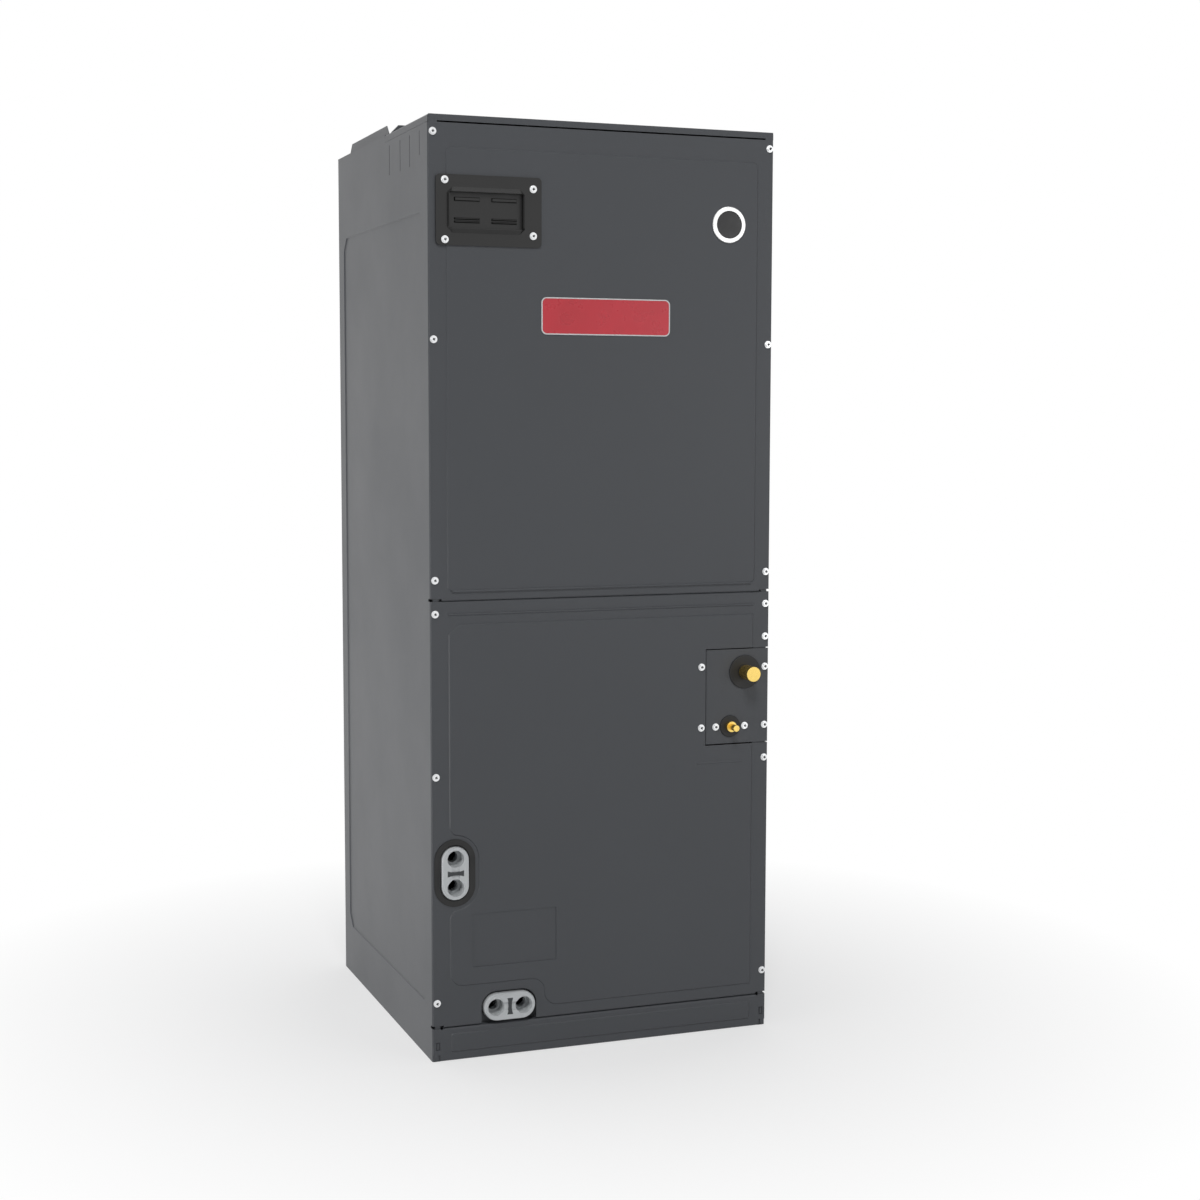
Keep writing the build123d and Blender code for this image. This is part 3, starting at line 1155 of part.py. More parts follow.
# Rubber grommets round the two line stubs
grommets = [(suction_x, suction_z, SUCTION_TUBE_RADIUS, SUCTION_NECK, SUCTION_GROMMET_RADIUS),
            (liquid_x, liquid_z, LIQUID_RADIUS, LIQUID_NECK, LIQUID_GROMMET_RADIUS)]
with BuildPart() as line_grommets:
    for line_x, line_z, tube_radius, neck, lip in grommets:
        bore_edge = line_z + tube_radius + GROMMET_BORE_GAP
        neck_edge = line_z + neck - RUNNING_GAP
        back_edge = line_z + neck + GROMMET_BACK_LIP
        with BuildSketch(at_x(line_x)) as grommet_profile:
            with BuildLine():
                Polyline((deep(-GROMMET_LIP), bore_edge), (deep(-GROMMET_LIP), line_z + lip),
                         (deep(0), line_z + lip), (deep(0), neck_edge), (deep(SHEET), neck_edge),
                         (deep(SHEET), back_edge), (deep(SHEET + GROMMET_LIP), back_edge),
                         (deep(SHEET + GROMMET_LIP), bore_edge), close=True)
            make_face()
            lip_corners = grommet_profile.vertices().sort_by(Axis.Y)[-2:]
            fillet(lip_corners.sort_by(Axis.X)[0], GROMMET_EDGE)
        revolve(axis=Axis((line_x, 0, line_z), (0, 1, 0)))
save("line_grommets", line_grommets.part)

# Coil frame: two slabs that lean together; these places are on the right-hand one
coil_rear = room_rear - COIL_REAR_GAP
coil_foot_x = room_half - SLAB_FOOT_INSET
pan_floor = FLOOR_PAN_BASE + PAN_WALL
apex_z = seam_z - SLAB_TOP_DROP
lean = atan2(coil_foot_x - SLAB_APEX, apex_z - pan_floor)
sheet_half = SLAB_THICKNESS / 2 + TUBE_SHEET_LIP
foot_z = pan_floor + SEAT_GAP + sheet_half * sin(lean)
slab_length = (apex_z - foot_z) / cos(lean)


def slab_point(along, offset):
    """X and Z at a distance up a slab and an offset out of its middle plane."""
    x = coil_foot_x - along * sin(lean) + offset * cos(lean)
    return x, foot_z + along * cos(lean) + offset * sin(lean)


def tube(radius, bend, *points):
    """Round tube along straight runs that are joined by bends."""
    with BuildLine() as route:
        FilletPolyline(*points, radius=bend)
    path = route.wire()
    with BuildSketch(Plane(origin=path @ 0, z_dir=path % 0)) as section:
        Circle(radius)
    sweep(sections=section.sketch, path=path)


def rod(radius, start, end):
    """Round rod between two points."""
    axis = Vector(*end) - Vector(*start)
    with BuildSketch(Plane(origin=start, z_dir=axis)) as section:
        Circle(radius)
    extrude(section.sketch, amount=axis.length)


# Suction manifold: widened stub, bend and header in one brazed piece, with feeders to the slab
line_y = deep(LINE_DEPTH)
header_top = slab_length - HEADER_END
header_along = (suction_z - foot_z + ROW_OFFSET * sin(lean)) / cos(lean)
header_join_x, header_join_z = slab_point(header_along, -ROW_OFFSET)
header_start_x, header_start_z = slab_point(HEADER_START, -ROW_OFFSET)
header_end_x, header_end_z = slab_point(header_top, -ROW_OFFSET)
with BuildPart() as suction_manifold:
    tube(SUCTION_TUBE_RADIUS, LINE_BEND, (suction_x, deep(-STUB_REACH), suction_z),
         (suction_x, line_y, suction_z), (header_join_x, line_y, header_join_z))
    rod(SUCTION_RADIUS, (suction_x, deep(-STUB_REACH), suction_z),
        (suction_x, deep(-STUB_SHOULDER), suction_z))
    rod(SUCTION_RADIUS + SHEET, (header_start_x, line_y, header_start_z),
        (header_end_x, line_y, header_end_z))
    for step in range(FEEDER_COUNT):
        feeder_along = HEADER_START + (step + 0.5) * (header_top - HEADER_START) / FEEDER_COUNT
        feeder_x, feeder_z = slab_point(feeder_along, -ROW_OFFSET)
        rod(COIL_TUBE_RADIUS, (feeder_x, line_y, feeder_z), (feeder_x, deep(COIL_FRONT), feeder_z))
save("suction_manifold", suction_manifold.part)

# Liquid line with its ferrule, up to the expansion valve
valve_x = liquid_x - VALVE_INSET
with BuildPart() as liquid_line:
    tube(LIQUID_RADIUS, LINE_BEND, (liquid_x, deep(-LIQUID_REACH), liquid_z),
         (liquid_x, line_y, liquid_z), (valve_x + VALVE_BODY / 2, line_y, liquid_z))
    rod(LIQUID_FERRULE_RADIUS, (liquid_x, deep(-LIQUID_FERRULE_REACH), liquid_z),
        (liquid_x, deep(-GROMMET_LIP), liquid_z))
save("liquid_line", liquid_line.part)

valve_top = liquid_z + VALVE_BODY / 2
valve_bottom = liquid_z - VALVE_BODY / 2
with BuildPart() as expansion_valve:
    with BuildSketch(at_z(valve_bottom)):
        with Locations((valve_x, line_y)):
            RectangleRounded(VALVE_BODY, VALVE_BODY, VALVE_CORNER)
    extrude(amount=VALVE_BODY)
    rod(VALVE_NECK_RADIUS, (valve_x, line_y, valve_top), (valve_x, line_y, valve_top + VALVE_NECK))
    with BuildSketch(at_z(valve_top + VALVE_NECK)):
        with Locations((valve_x, line_y)):
            Circle(VALVE_HEAD_RADIUS)
    extrude(amount=VALVE_HEAD_HEIGHT)
    chamfer(expansion_valve.edges().filter_by(GeomType.CIRCLE).sort_by(Axis.Z)[-1],
            VALVE_HEAD_CHAMFER)
save("expansion_valve", expansion_valve.part)

distributor_low = valve_bottom - DISTRIBUTOR_DROP
cup_top = distributor_low + DISTRIBUTOR_CUP
with BuildPart() as distributor:
    with BuildSketch(at_y(line_y)):
        with BuildLine():
            Polyline((valve_x, distributor_low), (valve_x + DISTRIBUTOR_RADIUS, distributor_low),
                     (valve_x + DISTRIBUTOR_RADIUS, cup_top),
                     (valve_x + DISTRIBUTOR_NECK_RADIUS, cup_top + DISTRIBUTOR_CONE),
                     (valve_x + DISTRIBUTOR_NECK_RADIUS, valve_bottom), (valve_x, valve_bottom),
                     close=True)
        make_face()
    revolve(axis=Axis((valve_x, line_y, 0), (0, 0, 1)))
save("distributor", distributor.part)

# Distributor tubes: two to the near slab, two that cross in front of the header to the far one
bend_pitch = slab_length / RETURN_BENDS
near_row = int((distributor_low - CAPILLARY_FALL - foot_z) / cos(lean) / bend_pitch)
with BuildPart() as distributor_tubes:
    for row, start_x in ((near_row - 1, valve_x + CAPILLARY_OFFSET),
                         (near_row, valve_x - CAPILLARY_OFFSET)):
        near_x, level = slab_point(row * bend_pitch, ROW_OFFSET)
        near_y = line_y + CAPILLARY_OFFSET
        tube(CAPILLARY_RADIUS, CAPILLARY_BEND, (start_x, near_y, distributor_low),
             (start_x, near_y, level), (near_x, near_y, level), (near_x, deep(COIL_FRONT), level))
        far_y = line_y - CAPILLARY_OFFSET
        slant_top = distributor_low - CAPILLARY_DROP
        cross_y = deep(CAPILLARY_FRONT)
        tube(CAPILLARY_RADIUS, CAPILLARY_BEND, (start_x, far_y, distributor_low),
             (start_x, far_y, slant_top), (start_x, cross_y, slant_top - CAPILLARY_SLANT),
             (start_x, cross_y, level), (-near_x, cross_y, level), (-near_x, deep(COIL_FRONT), level))
save("distributor_tubes", distributor_tubes.part)

# Fin packs of the two slabs: combed on both faces
fin_front = COIL_FRONT + SHEET
fin_rear = coil_rear - SHEET
groove_count = int((fin_rear - fin_front) / FIN_PITCH) - 1
slope_right = Vector(-sin(lean), 0, cos(lean))
slab_plane = Plane(origin=(coil_foot_x, deep((fin_front + fin_rear) / 2), foot_z),
                   x_dir=(0, 1, 0), z_dir=slope_right)
with BuildPart() as coil_slab_right:
    with BuildSketch(slab_plane):
        Rectangle(fin_rear - fin_front, SLAB_THICKNESS)
        with GridLocations(FIN_PITCH, SLAB_THICKNESS - FIN_GROOVE_DEPTH, groove_count, 2):
            Rectangle(FIN_GROOVE, FIN_GROOVE_DEPTH, mode=Mode.SUBTRACT)
    extrude(amount=slab_length)
save("coil_slab_right", coil_slab_right.part)
coil_slab_left = coil_slab_right.part.mirror(Plane.YZ)
save("coil_slab_left", coil_slab_left)

# Tube sheets at both ends of both slabs
with BuildPart() as coil_tube_sheets:
    for sheet_depth in (COIL_FRONT + SHEET, coil_rear):
        sheet_plane = Plane(origin=(coil_foot_x, deep(sheet_depth), foot_z), x_dir=slope_right,
                            z_dir=(0, -1, 0))
        with BuildSketch(sheet_plane):
            Rectangle(slab_length, 2 * sheet_half, align=(Align.MIN, Align.CENTER))
        extrude(amount=SHEET)
    mirror(about=Plane.YZ)
save("coil_tube_sheets", coil_tube_sheets.part)

# Return bends on the outer tube row, at the front
with BuildPart() as coil_return_bends:
    for step in range(RETURN_BENDS):
        bend_x, bend_z = slab_point((step + 0.5) * bend_pitch, ROW_OFFSET)
        bend_plane = Plane(origin=(bend_x, deep(COIL_FRONT), bend_z), x_dir=slope_right,
                           z_dir=(cos(lean), 0, sin(lean)))
        with Locations(bend_plane.location):
            Torus(RETURN_BEND_RADIUS, COIL_TUBE_RADIUS, major_angle=180, align=None)
    mirror(about=Plane.YZ)
save("coil_return_bends", coil_return_bends.part)

# Cap over the top of both slabs
cap_edge_x, cap_edge_z = slab_point(slab_length, sheet_half)
cap_under = cap_edge_z + SEAT_GAP
cap_half = cap_edge_x + CAP_SKIRT * tan(lean) + BAFFLE_GAP
with BuildPart() as coil_top_cap:
    with BuildSketch(at_y(deep(coil_rear))):
        with BuildLine():
            Polyline((-cap_half, cap_under - CAP_SKIRT), (-cap_half, cap_under),
                     (cap_half, cap_under), (cap_half, cap_under - CAP_SKIRT))
            offset(amount=SHEET, side=Side.LEFT, kind=Kind.INTERSECTION)
        make_face()
    extrude(amount=coil_rear - COIL_FRONT)
save("coil_top_cap", coil_top_cap.part)

# Baffles that close the space between the slabs at both ends
baffle_low = pan_floor + PAN_WALL
inner_foot_x, inner_foot_z = slab_point(0, -SLAB_THICKNESS / 2)
inner_top_x, inner_top_z = slab_point(slab_length, -SLAB_THICKNESS / 2)
baffle_half = inner_foot_x - (baffle_low - inner_foot_z) * tan(lean) - BAFFLE_GAP
with BuildPart() as coil_baffles:
    for baffle_depth in (fin_front + SHEET, fin_rear):
        with BuildSketch(at_y(deep(baffle_depth))):
            with BuildLine():
                Polyline((-baffle_half, baffle_low), (baffle_half, baffle_low),
                         (inner_top_x - BAFFLE_GAP, inner_top_z),
                         (-inner_top_x + BAFFLE_GAP, inner_top_z), close=True)
            make_face()
        extrude(amount=SHEET)
save("coil_baffles", coil_baffles.part)


def drain_port(x, z, turn, pan_front):
    """Moulded block with two threaded drain holes that leads through a pan's front wall."""
    with BuildSketch(at_y(deep(pan_front + PAN_WALL))) as block:
        stadium(x, z, PORT_LENGTH, PORT_WIDTH, turn)
    extrude(block.sketch, amount=pan_front + PAN_WALL + PORT_PROUD - PORT_EDGE)
    with BuildSketch(at_y(deep(PORT_EDGE - PORT_PROUD))) as edge:
        stadium(x, z, PORT_LENGTH, PORT_WIDTH, turn)
    extrude(edge.sketch, amount=PORT_EDGE, taper=PORT_EDGE_TAPER)
    face_y = deep(-PORT_PROUD)
    step_x = (PORT_HOLE_PITCH / 2 if turn == 0 else 0)
    step_z = (0 if turn == 0 else PORT_HOLE_PITCH / 2)
    holes_at = [(x - step_x, z - step_z), (x + step_x, z + step_z)]
    front_holes(holes_at, PORT_HOLE_RADIUS, face_y, PORT_HOLE_DEPTH)
    front_holes(holes_at, PORT_DRAIN_RADIUS, face_y, PORT_PROUD + pan_front + PAN_WALL)
    with BuildSketch(at_y(face_y)) as web:
        stadium(x, z, PORT_HOLE_PITCH, PORT_WEB_WIDTH, turn)
    extrude(web.sketch, amount=-PORT_WEB_DEPTH, mode=Mode.SUBTRACT)


# Floor drain pan with a rim round the air opening in its middle
floor_pan_half = room_half - FLOOR_PAN_SIDE_GAP
floor_pan_rear = room_rear - FLOOR_PAN_REAR_GAP
opening_front = COIL_FRONT + 2 * PAN_WALL + FLOOR_PAN_FRONT
opening_rear = coil_rear - 2 * PAN_WALL
with BuildPart() as floor_drain_pan:
    with BuildSketch(at_z(FLOOR_PAN_BASE)):
        span(-floor_pan_half, floor_pan_half, deep(FLOOR_PAN_FRONT), deep(floor_pan_rear))
    extrude(amount=FLOOR_PAN_HEIGHT)
    with BuildSketch(at_z(pan_floor)):
        span(-floor_pan_half + PAN_WALL, floor_pan_half - PAN_WALL,
             deep(FLOOR_PAN_FRONT + PAN_WALL), deep(floor_pan_rear - PAN_WALL))
        span(-FLOOR_PAN_CHANNEL - PAN_WALL, FLOOR_PAN_CHANNEL + PAN_WALL,
             deep(opening_front - PAN_WALL), deep(opening_rear + PAN_WALL), mode=Mode.SUBTRACT)
    extrude(amount=FLOOR_PAN_HEIGHT, mode=Mode.SUBTRACT)
    with BuildSketch(at_z(FLOOR_PAN_BASE)):
        span(-FLOOR_PAN_CHANNEL, FLOOR_PAN_CHANNEL, deep(opening_front), deep(opening_rear))
    extrude(amount=FLOOR_PAN_HEIGHT, mode=Mode.SUBTRACT)
    with BuildSketch(at_z(pan_floor + FLOOR_PAN_RIM)):
        span(-FLOOR_PAN_CHANNEL - PAN_WALL, FLOOR_PAN_CHANNEL + PAN_WALL,
             deep(opening_front - PAN_WALL), deep(opening_rear + PAN_WALL))
    extrude(amount=FLOOR_PAN_HEIGHT, mode=Mode.SUBTRACT)
    drain_port(floor_port_x, FLOOR_PORT_HEIGHT, 0, FLOOR_PAN_FRONT)
save("floor_drain_pan", floor_drain_pan.part)

# Side drain pan: an upright tray, open to the coil, for when the unit lies on its side
tray_x = -room_half + SEAT_GAP
side_pan_top = seam_z - SIDE_PAN_TOP_DROP
side_pan_rear = room_rear - SIDE_PAN_REAR_GAP
with BuildPart() as side_drain_pan:
    with BuildSketch(at_x(tray_x)):
        span(deep(SIDE_PAN_FRONT), deep(side_pan_rear), SIDE_PAN_BOTTOM, side_pan_top)
    extrude(amount=SIDE_PAN_REACH)
    with BuildSketch(at_x(tray_x + PAN_WALL)):
        span(deep(SIDE_PAN_FRONT + PAN_WALL), deep(side_pan_rear - PAN_WALL),
             SIDE_PAN_BOTTOM + PAN_WALL, side_pan_top - PAN_WALL)
    extrude(amount=SIDE_PAN_REACH, mode=Mode.SUBTRACT)
    drain_port(side_port_x, SIDE_PORT_HEIGHT, 90, SIDE_PAN_FRONT)
save("side_drain_pan", side_drain_pan.part)

# Blower housing: a scroll that grows round the wheel and opens upwards through the deck
scroll_end = 1.5 * pi
scroll_angles = [start_angle + step * (scroll_end - start_angle) / SCROLL_STEPS
                 for step in range(SCROLL_STEPS + 1)]


def scroll_points(extra):
    """Points along the scroll as (y, z), at an extra distance outside its inner face."""
    points = []
    for angle in scroll_angles:
        growth = SCROLL_GROWTH * (angle - start_angle) / (scroll_end - start_angle)
        radius = scroll_start + growth + extra
        points.append((deep(wheel_depth) - radius * sin(angle), wheel_z + radius * cos(angle)))
    return points


wrap_inner = scroll_points(0)
wrap_outer = scroll_points(SHEET)
with BuildPart() as blower_scroll_wrap:
    with BuildSketch(at_x(-housing_half)):
        with BuildLine():
            Spline(*wrap_inner)
            Polyline(wrap_inner[-1], (wrap_inner[-1][0], deck_z), (wrap_outer[-1][0], deck_z),
                     wrap_outer[-1])
            Spline(*reversed(wrap_outer))
            Line(wrap_outer[0], wrap_inner[0])
        make_face()
    extrude(amount=2 * housing_half)
save("blower_scroll_wrap", blower_scroll_wrap.part)

housing_edge = scroll_points(HOUSING_EDGE)
for side, label in ((-1, "left"), (1, "right")):
    with BuildPart() as housing_side:
        with BuildSketch(at_x(side * (housing_half + SHEET / 2))):
            with BuildLine():
                Spline(*housing_edge)
                Polyline(housing_edge[-1], (housing_edge[-1][0], deck_z),
                         (housing_edge[0][0], deck_z), housing_edge[0])
            make_face()
            with Locations((deep(wheel_depth), wheel_z)):
                Circle(INLET_RADIUS, mode=Mode.SUBTRACT)
        extrude(amount=SHEET / 2, both=True)
    save(f"blower_side_{label}", housing_side.part)

cutoff_low = wrap_outer[0][1] + CUTOFF_GAP
with BuildPart() as blower_cutoff:
    with BuildSketch(at_x(-housing_half)):
        with BuildLine():
            FilletPolyline((deep(outlet_front), deck_z), (deep(outlet_front), cutoff_low),
                           (deep(outlet_front - CUTOFF_LIP), cutoff_low), radius=CUTOFF_NOSE)
            offset(amount=SHEET, side=Side.RIGHT)
        make_face()
    extrude(amount=2 * housing_half)
save("blower_cutoff", blower_cutoff.part)

# Inlet rings: flared throats that guide the air into both ends of the wheel
wheel_axis = Axis((0, deep(wheel_depth), wheel_z), (1, 0, 0))
wheel_plane = Plane(origin=(0, deep(wheel_depth), wheel_z), x_dir=(1, 0, 0), z_dir=(0, -1, 0))
ring_face = housing_half + 2 * SHEET
with BuildPart() as blower_inlet_rings:
    with BuildSketch(wheel_plane):
        with BuildLine():
            FilletPolyline((ring_face, INLET_RADIUS + INLET_FLANGE), (ring_face, INLET_THROAT),
                           (ring_face - SHEET - INLET_REACH, INLET_THROAT), radius=INLET_FLARE)
            offset(amount=SHEET, side=Side.RIGHT)
        make_face()
    revolve(axis=wheel_axis)
    mirror(about=Plane.YZ)
save("blower_inlet_rings", blower_inlet_rings.part)


def on_wheel(radius, angle):
    """Y and Z of a point at this radius and angle round the wheel's axis."""
    return deep(wheel_depth) + radius * cos(angle), wheel_z + radius * sin(angle)


# Blower wheel: forward-curved blades between a middle plate and two end rings
blade_lean = BLADE_LEAN * pi / 180
blade_middle = (BLADE_INNER_RADIUS + BLADE_OUTER_RADIUS) / 2
with BuildPart() as blower_wheel:
    with BuildSketch(at_x(-WHEEL_WIDTH / 2)) as blades:
        for step in range(BLADE_COUNT):
            foot = 2 * pi * step / BLADE_COUNT
            bulge = blade_lean / 2 - BLADE_BULGE / blade_middle
            thin = BLADE_THICKNESS / blade_middle
            with BuildLine():
                ThreePointArc(on_wheel(BLADE_INNER_RADIUS, foot), on_wheel(blade_middle, foot + bulge),
                              on_wheel(BLADE_OUTER_RADIUS, foot + blade_lean))
                Line(on_wheel(BLADE_OUTER_RADIUS, foot + blade_lean),
                     on_wheel(BLADE_OUTER_RADIUS, foot + blade_lean + thin))
                ThreePointArc(on_wheel(BLADE_OUTER_RADIUS, foot + blade_lean + thin),
                              on_wheel(blade_middle, foot + bulge + thin),
                              on_wheel(BLADE_INNER_RADIUS, foot + thin))
                Line(on_wheel(BLADE_INNER_RADIUS, foot + thin), on_wheel(BLADE_INNER_RADIUS, foot))
            make_face()
    extrude(amount=WHEEL_WIDTH)
    with BuildSketch(at_x(-WHEEL_PLATE / 2)):
        with Locations((deep(wheel_depth), wheel_z)):
            Circle(BLADE_OUTER_RADIUS)
            Circle(HUB_RADIUS, mode=Mode.SUBTRACT)
    extrude(amount=WHEEL_PLATE)
    for ring_x in (-WHEEL_WIDTH / 2, WHEEL_WIDTH / 2 - WHEEL_RING):
        with BuildSketch(at_x(ring_x)):
            with Locations((deep(wheel_depth), wheel_z)):
                Circle(WHEEL_RADIUS)
                Circle(WHEEL_RING_INNER, mode=Mode.SUBTRACT)
        extrude(amount=WHEEL_RING)
save("blower_wheel", blower_wheel.part)


def wheel_rings(start_x, length, outer, inner):
    """Round sleeve or disc on the wheel's axis."""
    with BuildSketch(at_x(start_x)) as ring:
        with Locations((deep(wheel_depth), wheel_z)):
            Circle(outer)
            if inner:
                Circle(inner, mode=Mode.SUBTRACT)
    extrude(ring.sketch, amount=length)


with BuildPart() as wheel_hub:
    wheel_rings(-HUB_LENGTH / 2, HUB_LENGTH, HUB_RADIUS, SHAFT_RADIUS)
    wheel_rings(WHEEL_PLATE / 2, HUB_FLANGE, HUB_FLANGE_RADIUS, SHAFT_RADIUS)
save("wheel_hub", wheel_hub.part)

shaft_start = -HUB_LENGTH / 2 - SHAFT_PAST_HUB
shaft_end = MOTOR_START + SHAFT_IN_MOTOR
with BuildPart() as motor_shaft:
    wheel_rings(shaft_start, shaft_end - shaft_start, SHAFT_RADIUS, 0)
    chamfer(motor_shaft.edges().filter_by(GeomType.CIRCLE), SHAFT_CHAMFER)
save("motor_shaft", motor_shaft.part)

# Motor: shell, two vented end bells, a clamp band and three arms to the housing side
shell_start = MOTOR_START + END_BELL
shell_end = MOTOR_START + MOTOR_LENGTH - END_BELL
with BuildPart() as motor_shell:
    wheel_rings(shell_start, shell_end - shell_start, MOTOR_RADIUS, 0)
    with BuildSketch(at_x(shell_start)):
        with Locations((deep(wheel_depth), wheel_z)):
            Circle(SHAFT_RADIUS + RUNNING_GAP)
    extrude(amount=shaft_end - shell_start + SHAFT_END_ROOM, mode=Mode.SUBTRACT)
save("motor_shell", motor_shell.part)

with BuildPart() as motor_end_bells:
    wheel_rings(MOTOR_START, END_BELL, END_BELL_RADIUS, SHAFT_RADIUS + RUNNING_GAP)
    wheel_rings(shell_end, END_BELL, END_BELL_RADIUS, 0)
    for vent_x, inward in ((MOTOR_START, 1), (shell_end + END_BELL, -1)):
        with BuildSketch(at_x(vent_x)):
            with Locations((deep(wheel_depth), wheel_z)):
                with PolarLocations(VENT_RING, VENT_COUNT):
                    SlotOverall(VENT_LENGTH, VENT_WIDTH)
        extrude(amount=inward * VENT_DEPTH, mode=Mode.SUBTRACT)
save("motor_end_bells", motor_end_bells.part)

band_radius = MOTOR_RADIUS + MOTOR_BAND_THICKNESS
with BuildPart() as motor_band:
    wheel_rings(shell_end - MOTOR_BAND, MOTOR_BAND, band_radius, MOTOR_RADIUS)
save("motor_band", motor_band.part)

arm_x = housing_half + 3 * SHEET
with BuildPart() as motor_arms:
    for step in range(ARM_COUNT):
        turn = pi / 2 + step * 2 * pi / ARM_COUNT
        for start_x, thickness, inner in ((arm_x, ARM_THICKNESS, band_radius),
                                          (housing_half + SHEET, 2 * SHEET, ARM_REACH - ARM_FOOT)):
            arm_plane = Plane(origin=(start_x, deep(wheel_depth), wheel_z),
                              x_dir=(0, cos(turn), sin(turn)), z_dir=(1, 0, 0))
            with BuildSketch(arm_plane):
                with Locations(((inner + ARM_REACH) / 2, 0)):
                    Rectangle(ARM_REACH - inner, ARM_WIDTH)
            extrude(amount=thickness)
    wheel_rings(arm_x, ARM_THICKNESS, band_radius + ARM_THICKNESS, band_radius)
save("motor_arms", motor_arms.part)

# Controls in the compartment above the deck
box_left = -half_width + BOX_INSET
box_floor = deck_z + SHEET
box_back = deep(BOX_FRONT + BOX_DEPTH)
with BuildPart() as control_box:
    with BuildSketch(at_y(box_back)):
        span(box_left, box_left + BOX_WIDTH, box_floor, box_floor + BOX_HEIGHT)
    extrude(amount=BOX_DEPTH)
    with BuildSketch(at_y(box_back - SHEET)):
        span(box_left + SHEET, box_left + BOX_WIDTH - SHEET,
             box_floor + SHEET, box_floor + BOX_HEIGHT - SHEET)
    extrude(amount=BOX_DEPTH, mode=Mode.SUBTRACT)
save("control_box", control_box.part)

board_x = box_left + BOX_WIDTH / 2
board_z = box_floor + BOX_HEIGHT - BOARD_HEIGHT / 2 - BOARD_STANDOFF
board_back = box_back - SHEET
with BuildPart() as control_board:
    with BuildSketch(at_y(board_back)):
        with Locations((board_x, board_z)):
            with GridLocations(BOARD_WIDTH - 2 * BOARD_STANDOFF, BOARD_HEIGHT - 2 * BOARD_STANDOFF,
                               2, 2):
                Circle(BOARD_STANDOFF_RADIUS)
    extrude(amount=BOARD_STANDOFF)
    with BuildSketch(at_y(board_back - BOARD_STANDOFF)):
        with Locations((board_x, board_z)):
            Rectangle(BOARD_WIDTH, BOARD_HEIGHT)
    extrude(amount=BOARD_THICKNESS)
    with BuildSketch(at_y(board_back - BOARD_STANDOFF - BOARD_THICKNESS)):
        with Locations(*[(board_x + shift, board_z - BOARD_HEIGHT / 4) for shift in RELAY_SHIFTS]):
            Rectangle(RELAY_WIDTH, RELAY_WIDTH)
    extrude(amount=RELAY_HEIGHT)
save("control_board", control_board.part)

part_gap = BOARD_STANDOFF
transformer_x = box_left + SHEET + part_gap + TRANSFORMER_WIDTH / 2
transformer_z = box_floor + SHEET + part_gap + TRANSFORMER_HEIGHT / 2
with BuildPart() as transformer:
    with BuildSketch(at_y(board_back)):
        with Locations((transformer_x, transformer_z)):
            Rectangle(TRANSFORMER_WIDTH, TRANSFORMER_HEIGHT)
    extrude(amount=TRANSFORMER_DEPTH / 2)
    with BuildSketch(at_y(board_back - TRANSFORMER_DEPTH / 2)):
        with Locations((transformer_x, transformer_z)):
            RectangleRounded(WINDING_WIDTH, WINDING_HEIGHT, WINDING_CORNER)
    extrude(amount=TRANSFORMER_DEPTH / 2)
save("transformer", transformer.part)

terminal_x = transformer_x + (TRANSFORMER_WIDTH + TERMINAL_WIDTH) / 2 + part_gap
terminal_z = box_floor + SHEET + part_gap + TERMINAL_HEIGHT / 2
with BuildPart() as terminal_block:
    with BuildSketch(at_y(board_back)):
        with Locations((terminal_x, terminal_z)):
            Rectangle(TERMINAL_WIDTH, TERMINAL_HEIGHT)
    extrude(amount=TERMINAL_DEPTH)
    with BuildSketch(at_y(board_back - TERMINAL_DEPTH)):
        with Locations((terminal_x, terminal_z)):
            with GridLocations(TERMINAL_WIDTH / TERMINAL_POLES, 0, TERMINAL_POLES, 1):
                Rectangle(TERMINAL_WIDTH / TERMINAL_POLES - 2 * PAN_WALL, TERMINAL_HEIGHT / 2)
    extrude(amount=-TERMINAL_POLE_DEPTH, mode=Mode.SUBTRACT)
save("terminal_block", terminal_block.part)
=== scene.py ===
"""Looks of the upright air handler: finishes, small made pieces, light and camera."""

import json
import math

import bpy
from mathutils import Matrix, Vector


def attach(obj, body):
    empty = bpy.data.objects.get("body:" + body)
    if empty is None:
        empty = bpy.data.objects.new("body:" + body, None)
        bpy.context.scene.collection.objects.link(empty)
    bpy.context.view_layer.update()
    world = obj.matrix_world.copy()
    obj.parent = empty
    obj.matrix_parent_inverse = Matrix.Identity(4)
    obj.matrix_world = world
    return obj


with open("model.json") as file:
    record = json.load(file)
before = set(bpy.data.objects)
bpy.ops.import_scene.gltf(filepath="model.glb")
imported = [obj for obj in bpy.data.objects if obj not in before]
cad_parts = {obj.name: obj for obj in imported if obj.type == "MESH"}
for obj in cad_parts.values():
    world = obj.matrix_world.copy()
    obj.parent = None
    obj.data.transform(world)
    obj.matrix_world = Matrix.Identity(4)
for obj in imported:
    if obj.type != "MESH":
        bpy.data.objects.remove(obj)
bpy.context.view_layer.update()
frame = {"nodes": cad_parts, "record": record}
nodes = frame["nodes"]


# Material helpers

